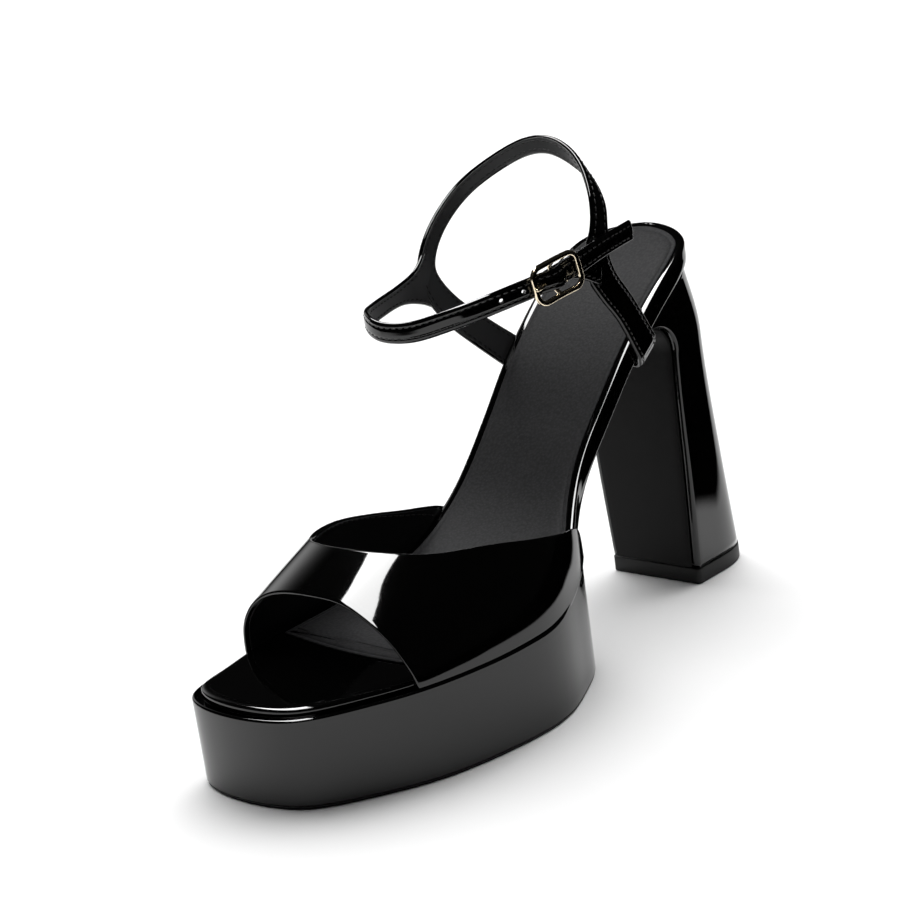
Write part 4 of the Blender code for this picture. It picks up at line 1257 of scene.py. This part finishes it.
class SANDAL_OT_buckle(bpy.types.Operator):
    """Buckle: a flat-faced frame bowed over the strap, its centre bar and its pin"""

    bl_idname = "sandal.buckle"
    bl_label = "Buckle"

    def execute(self, context):
        sizes = context.scene.sandal_buckle
        strap = mm(context.scene.sandal_upper.strap)
        centre, along, out, across = buckle_place()
        half_long, half_high, corner = 0.5 * mm(sizes.length), 0.5 * mm(sizes.height), mm(sizes.corner)
        signs = np.array([(1, 1), (-1, 1), (-1, -1), (1, -1)])
        turn = np.radians(np.linspace(0, 90, 13))[None, :] + np.radians(90 * np.arange(4))[:, None]
        a = signs[:, :1] * (half_long - corner) + corner * np.cos(turn)
        b = signs[:, 1:] * (half_high - corner) + corner * np.sin(turn)
        plan = evenly(np.column_stack([a.ravel(), b.ravel()]), FRAME_STEPS)
        width, depth, bevel = 0.5 * mm(sizes.frame), 0.5 * mm(sizes.depth), FRAME_BEVEL
        high = 0.5 * SOLID_STRAP + GAP + 0.5 * SOLID_WIRE
        bow = mm(sizes.saddle) * np.clip(np.cos(0.5 * math.pi * plan[:, 0] / half_long), 0, 1) ** 2
        line = centre + plan[:, :1] * along + plan[:, 1:] * across + (high - bow)[:, None] * out
        right = np.array([(width - bevel, depth), (width - 0.4 * bevel, depth - 0.1),
                          (width, depth - bevel), (width, -depth + bevel), (width - bevel, -depth)])
        left = right[::-1] * (-1, 1)
        section = np.concatenate([left[1:], [(0, depth + FRAME_CROWN)], right, left[:1]])
        frame_grid = wire(line, np.broadcast_to(out, line.shape), section, True)
        ring = np.linspace(0, 2 * math.pi, WIRE_SIDES, endpoint=False)
        disc = np.column_stack([np.cos(ring), np.sin(ring)])
        bar_out = mm(sizes.rise) - high
        side_out = high - mm(sizes.saddle)
        b = np.linspace(-half_high, half_high, BAR_STEPS)[:, None]
        climb = np.clip((np.abs(b) / half_high - BAR_CLIMB) / (1 - BAR_CLIMB), 0, 1)
        climb = climb**2 * (3 - 2 * climb)
        bar = centre + b * across + (bar_out + (side_out - bar_out) * climb) * out
        bar_grid = wire(bar, np.broadcast_to(out, bar.shape), BAR_RADIUS * disc, False)
        metal = [surface(frame_grid, True, True), surface(bar_grid, False, True)]
        piece = make_piece("buckle_metal", metal, look("gold"), "gold", "buckle_frame")
        piece.data.set_sharp_from_angle(angle=math.radians(FRAME_EDGE_ANGLE))
        radius = 0.5 * mm(sizes.pin)
        pin_high = high + depth + radius
        knots = [(run, 0.5 * strap + rise) for run, rise in PIN_RISE]
        knots += [(-PIN_LANDING * half_long, pin_high - PIN_LANDING_DROP), (-half_long, pin_high),
                  (-half_long - PIN_OVERHANG, pin_high)]
        curve = through(knots, 6, False)
        line = centre + curve[:, :1] * along + curve[:, 1:] * out
        taper = np.ones(len(line))
        taper[-len(PIN_TIP):] = PIN_TIP
        grid = wire(line, np.broadcast_to(out, line.shape), radius * disc, False)
        grid = line[:, None] + (grid - line[:, None]) * taper[:, None, None]
        make_piece("buckle_pin_metal", [surface(grid, False, True)], look("gold"), "gold", "buckle_pin")
        return {"FINISHED"}


class SANDAL_OT_heel(bpy.types.Operator):
    """Heel: patent sections that turn from level at the lift to the slope of the seat"""

    bl_idname = "sandal.heel"
    bl_label = "Heel"

    def execute(self, context):
        sizes = context.scene.sandal_heel
        bottom = mm(sizes.lift) + GAP
        top = underside(HEEL_REAR_TOP_Y) - GAP
        front = breast_profile(bottom)
        steps = np.concatenate([[0], np.cumsum(np.linalg.norm(np.diff(front, axis=0), axis=1))])
        rise = steps / steps[-1]
        rear_y = HEEL_REAR_BOTTOM_Y + (HEEL_REAR_TOP_Y - HEEL_REAR_BOTTOM_Y) * rise
        rear_y = rear_y - HEEL_REAR_BOW * np.sin(math.pi * rise)
        rear = np.column_stack([rear_y, bottom + (top - bottom) * rise])
        level = 0.5 * (front[:, 1] + rear[:, 1])
        half = smooth(column(HEEL_WIDTHS, 0), column(HEEL_WIDTHS, 1), level)
        middle = HEEL_BOTTOM_X + (HEEL_TOP_X - HEEL_BOTTOM_X) * rise
        roundness = HEEL_REAR_ROUND_BOTTOM + (HEEL_REAR_ROUND_TOP - HEEL_REAR_ROUND_BOTTOM) * rise
        rings = heel_rings(half, front, rear, middle, roundness, mm(sizes.corner))
        rings[-1, :, 2] = underside(rings[-1, :, 1]) - GAP
        make_piece("heel_wrap", capped(rings), look("patent"), "patent", "heel")
        return {"FINISHED"}


class SANDAL_OT_breast_cover(bpy.types.Operator):
    """Breast cover: a matte sheet down the heel's front, carried forward under the arch"""

    bl_idname = "sandal.breast_cover"
    bl_label = "Breast cover"

    def execute(self, context):
        sizes = context.scene.sandal_heel
        profile = breast_profile(mm(sizes.lift) + GAP)
        ys = np.linspace(profile[-1, 0], COVER_FRONT_Y, ARCH_STEPS)[1:]
        path = np.concatenate([profile, np.column_stack([ys, underside(ys) - GAP])])
        path[0, 1] += COVER_FOOT
        along = unit(np.gradient(path, axis=0))
        out = np.column_stack([-along[:, 1], along[:, 0]])
        half = smooth(column(HEEL_WIDTHS, 0), column(HEEL_WIDTHS, 1), path[:, 1]) - mm(sizes.margin)
        lift = mm(sizes.lift)
        rise = np.clip((path[:, 1] - lift) / (underside(HEEL_REAR_TOP_Y) - lift), 0, 1)
        middle = HEEL_BOTTOM_X + (HEEL_TOP_X - HEEL_BOTTOM_X) * rise
        past = np.arange(len(path)) - len(profile) + COVER_BLEND_ROWS // 2
        arch = np.clip(past / COVER_BLEND_ROWS, 0, 1)
        inner = footbed_side(path[:, 0], False, -COVER_ARCH_INSET)
        outer = footbed_side(path[:, 0], True, -COVER_ARCH_INSET)
        left = (middle - half) * (1 - arch) + inner * arch
        right = (middle + half) * (1 - arch) + outer * arch
        thick = mm(sizes.cover)
        edge, drop = quarter_round(5)
        inset = np.concatenate([[0.0], COVER_ROUND * edge, [COVER_BAND]])
        depth = np.concatenate([[COVER_LIFT], thick - COVER_ROUND * drop, [thick]])
        left_side = left[:, None] + inset
        right_side = right[:, None] - inset[::-1]
        x = np.concatenate([left_side, right_side], axis=1)
        depth = np.concatenate([depth, depth[::-1]])
        line = path[:, None] + (GAP + depth)[None, :, None] * out[:, None]
        grid = np.concatenate([x[..., None], line], axis=-1)
        make_piece("breast_leather", [surface(grid)], look("breast"), "matte", "breast_cover")
        return {"FINISHED"}


class SANDAL_OT_top_lift(bpy.types.Operator):
    """Top lift: a rubber slab of the heel's section, with round edges"""

    bl_idname = "sandal.top_lift"
    bl_label = "Top lift"

    def execute(self, context):
        sizes = context.scene.sandal_heel
        thick = mm(sizes.lift)
        inset, drop = quarter_round(5)
        edge = LIFT_ROUND
        low = np.column_stack([edge * inset[::-1], edge * drop[::-1]])
        high = np.column_stack([low[::-1, 0], thick - low[::-1, 1]])
        rows = np.concatenate([low, [[0.0, 0.5 * thick]], high])
        count = len(rows)
        half = HEEL_WIDTHS[0][1] + LIFT_PROUD - rows[:, 0]
        front = np.column_stack([HEEL_FRONT_Y - LIFT_PROUD + rows[:, 0], rows[:, 1]])
        rear = np.column_stack([HEEL_REAR_BOTTOM_Y + LIFT_PROUD - rows[:, 0], rows[:, 1]])
        rings = heel_rings(half, front, rear, np.full(count, HEEL_BOTTOM_X),
                           np.full(count, HEEL_REAR_ROUND_BOTTOM), mm(sizes.corner))
        make_piece("top_lift_rubber", capped(rings), look("rubber"), "rubber", "top_lift")
        return {"FINISHED"}


class SANDAL_OT_stage(bpy.types.Operator):
    """Stage: a pale floor and wall, an overhead silk, what the patent mirrors, and the camera"""

    bl_idname = "sandal.stage"
    bl_label = "Stage"

    def execute(self, context):
        scene = context.scene
        studio = scene.sandal_studio
        scene.view_settings.view_transform = "Standard"
        self.floor(scene.sandal_finish.floor)
        self.world()
        self.silk(studio)
        self.wall()
        self.card()
        for row in PANELS:
            self.panel(*row)
        for row in SOFTBOXES:
            self.softbox(*row)
        self.camera(scene, studio)
        return {"FINISHED"}

    def floor(self, colour):
        """Large flat disc of pale paper under the sole."""
        ring = np.linspace(0, 2 * math.pi, RING_STEPS, endpoint=False)
        radius = np.array(FLOOR_RINGS)[:, None]
        level = 0 * radius * ring - FLOOR_DROP
        grid = np.stack([radius * np.cos(ring), radius * np.sin(ring), level], axis=-1)
        points, quads = surface(grid, wrap_columns=True)
        mesh = bpy.data.meshes.new("floor")
        mesh.from_pydata(points.tolist(), [], quads.tolist())
        # Matte paper: even and pale, with no gloss
        made, _, _ = new_material("paper, matte", colour, 0.9, Specular_IOR_Level=0.0)
        mesh.materials.append(made)
        floor = bpy.data.objects.new("floor", mesh)
        bpy.context.scene.collection.objects.link(floor)

    def world(self):
        """Dark studio round the set."""
        world = bpy.data.worlds.new("studio")
        world.use_nodes = True
        dark = (STUDIO_DARK, STUDIO_DARK, STUDIO_DARK, 1.0)
        world.node_tree.nodes["Background"].inputs["Color"].default_value = dark
        bpy.context.scene.world = world

    def silk(self, studio):
        """Wide light from high behind the inner side: it lights floor and shoe and is mirrored nowhere."""
        light = bpy.data.lights.new("overhead_silk", "SUN")
        light.energy = studio.silk
        light.angle = studio.silk_angle
        lamp = bpy.data.objects.new("overhead_silk", light)
        lamp.rotation_euler = Vector(studio.silk_side).to_track_quat("Z", "Y").to_euler()
        lamp.visible_glossy = False
        bpy.context.scene.collection.objects.link(lamp)

    def screen(self, name, points, quads, material, camera=False):
        """Mesh of the set that only polished faces see, or only the camera."""
        mesh = bpy.data.meshes.new(name)
        mesh.from_pydata(points.tolist(), [], quads.tolist())
        mesh.materials.append(material)
        made = bpy.data.objects.new(name, mesh)
        bpy.context.scene.collection.objects.link(made)
        made.visible_camera = camera
        made.visible_glossy = not camera
        made.visible_diffuse = False
        made.visible_shadow = False
        return mesh

    def wall(self):
        """White paper wall a few metres round the set: a ring of two heights."""
        ring = np.linspace(0, 2 * math.pi, RING_STEPS, endpoint=False)
        height = np.array(WALL_HEIGHTS)[:, None]
        radius = WALL_RADIUS + 0 * height
        grid = np.stack([radius * np.cos(ring), radius * np.sin(ring), height + 0 * ring], axis=-1)
        # Lit paper: plain white, whatever the light
        made, _, _ = new_material("paper, white seamless roll", BLACK, 1.0,
                                  Emission_Color=WHITE, Emission_Strength=1.0)
        self.screen("wall", *surface(grid, wrap_columns=True), made, True)

    def card(self):
        """Black card laid round the set: a ring from the opening's faded edge out to its reach."""
        bearing = np.linspace(0, 360, CARD_STEPS, endpoint=False)
        opening = np.exp(np.interp(bearing, column(CARD_OPENING, 0), np.log(column(CARD_OPENING, 1))))
        fade = np.linspace(0, 1, CARD_FADE_STEPS)
        feather = np.interp(bearing, column(CARD_OPENING, 0), column(CARD_OPENING, 2))
        radius = opening * (1 + feather * fade[:, None])
        radius = np.concatenate([radius, np.full((1, len(bearing)), CARD_REACH)])
        turn = np.radians(bearing)
        grid = np.stack([CARD_MIDDLE[0] + radius * np.cos(turn), CARD_MIDDLE[1] + radius * np.sin(turn),
                         0 * radius + CARD_LIFT], axis=-1)
        points, quads = surface(grid, wrap_columns=True)
        # Flocked card: dull black that fades to pale paper at the opening
        made, tree, shader = new_material("card, black flocked", BLACK, 1.0, Specular_IOR_Level=0.0)
        paper = node(tree, "ShaderNodeAttribute", attribute_name="paper")
        tree.links.new(paper.outputs["Fac"], shader.inputs["Base Color"])
        mesh = self.screen("card", place(points), quads, made)
        white = np.append(CARD_FADE_WHITE * np.cos(0.5 * math.pi * fade) ** 2, 0.0)
        values = mesh.attributes.new("paper", "FLOAT", "POINT").data
        values.foreach_set("value", np.repeat(white, len(bearing)))

    def panel(self, name, bearing, rise, distance, width, height, strength):
        """Dim panel, brightest in its middle and faded to nothing as cosines squared."""
        a, e = math.radians(bearing), math.radians(rise)
        way = np.array([math.cos(a) * math.cos(e), math.sin(a) * math.cos(e), math.sin(e)])
        side = np.array([-math.sin(a), math.cos(a), 0.0])
        steps = np.linspace(-1, 1, PANEL_STEPS)
        u, v = np.meshgrid(steps, steps, indexing="ij")
        up = np.cross(way, side)
        grid = distance * way + 0.5 * width * u[..., None] * side + 0.5 * height * v[..., None] * up
        # Back-lit acrylic: an even white glow that falls off to its edges
        made, tree, shader = new_material("panel, translucent acrylic", BLACK, 1.0, Emission_Color=WHITE)
        glow = node(tree, "ShaderNodeAttribute", attribute_name="glow")
        tree.links.new(glow.outputs["Fac"], shader.inputs["Emission Strength"])
        mesh = self.screen(name, *surface(grid), made)
        values = strength * np.cos(0.5 * math.pi * u) ** 2 * np.cos(0.5 * math.pi * v) ** 2
        mesh.attributes.new("glow", "FLOAT", "POINT").data.foreach_set("value", values.ravel())

    def softbox(self, name, x, y, z, width, length, turn, brightness):
        """Rectangular softbox that looks straight down; only polished faces show it."""
        light = bpy.data.lights.new(name, "AREA")
        light.shape = "RECTANGLE"
        light.size = length
        light.size_y = width
        light.energy = brightness * math.pi * width * length
        lamp = bpy.data.objects.new(name, light)
        lamp.location = (x + SHIFT[0] * MM, y + SHIFT[1] * MM, z)
        lamp.rotation_euler = (0.0, 0.0, math.radians(turn))
        lamp.visible_camera = False
        lamp.visible_diffuse = False
        bpy.context.scene.collection.objects.link(lamp)

    def camera(self, scene, studio):
        """Camera at the photograph's angle to the shoe, rolled so that the shoe stands on a level floor."""
        a, e, roll = studio.azimuth, studio.elevation, studio.roll
        back = np.array([math.sin(a) * math.cos(e), -math.cos(a) * math.cos(e), math.sin(e)])
        right = np.array([math.cos(a), math.sin(a), 0.0])
        up = np.cross(back, right)
        turned = np.column_stack([math.cos(roll) * right - math.sin(roll) * up,
                                  math.sin(roll) * right + math.cos(roll) * up, back])
        spot = np.array(studio.target) + SHIFT * MM + studio.distance * back
        data = bpy.data.cameras.new("camera")
        data.sensor_width = SENSOR_WIDTH
        data.lens = studio.lens
        data.clip_start = 0.01
        camera = bpy.data.objects.new("camera", data)
        camera.matrix_world = Matrix.Translation(Vector(spot)) @ Matrix(turned.tolist()).to_4x4()
        scene.collection.objects.link(camera)
        scene.camera = camera


class SANDAL_PT_panel(bpy.types.Panel):
    """Lists the sandal's pieces in the sidebar"""

    bl_idname = "SANDAL_PT_panel"
    bl_label = "Platform sandal"
    bl_space_type = "VIEW_3D"
    bl_region_type = "UI"
    bl_category = "Sandal"

    def draw(self, context):
        for operator in OPERATORS:
            self.layout.operator(operator.bl_idname)


GROUPS = {
    "sandal_sole": SoleSizes,
    "sandal_upper": UpperSizes,
    "sandal_heel": HeelSizes,
    "sandal_buckle": BuckleSizes,
    "sandal_finish": Finish,
    "sandal_studio": Studio,
}
OPERATORS = [
    SANDAL_OT_stage,
    SANDAL_OT_outsole,
    SANDAL_OT_platform,
    SANDAL_OT_insole,
    SANDAL_OT_sock_lining,
    SANDAL_OT_vamp,
    SANDAL_OT_straps,
    SANDAL_OT_buckle,
    SANDAL_OT_heel,
    SANDAL_OT_breast_cover,
    SANDAL_OT_top_lift,
]


def register():
    """Register the classes and hang the sizes on the scene."""
    for group in list(GROUPS.values()) + OPERATORS + [SANDAL_PT_panel]:
        bpy.utils.register_class(group)
    for name, group in GROUPS.items():
        setattr(bpy.types.Scene, name, PointerProperty(type=group))


def unregister():
    """Take the classes and the sizes away again."""
    for name in GROUPS:
        delattr(bpy.types.Scene, name)
    for group in [SANDAL_PT_panel] + OPERATORS[::-1] + list(GROUPS.values()):
        bpy.utils.unregister_class(group)


def main():
    register()
    for operator in OPERATORS:
        family, name = operator.bl_idname.split(".")
        getattr(getattr(bpy.ops, family), name)()


if __name__ == "__main__":
    main()
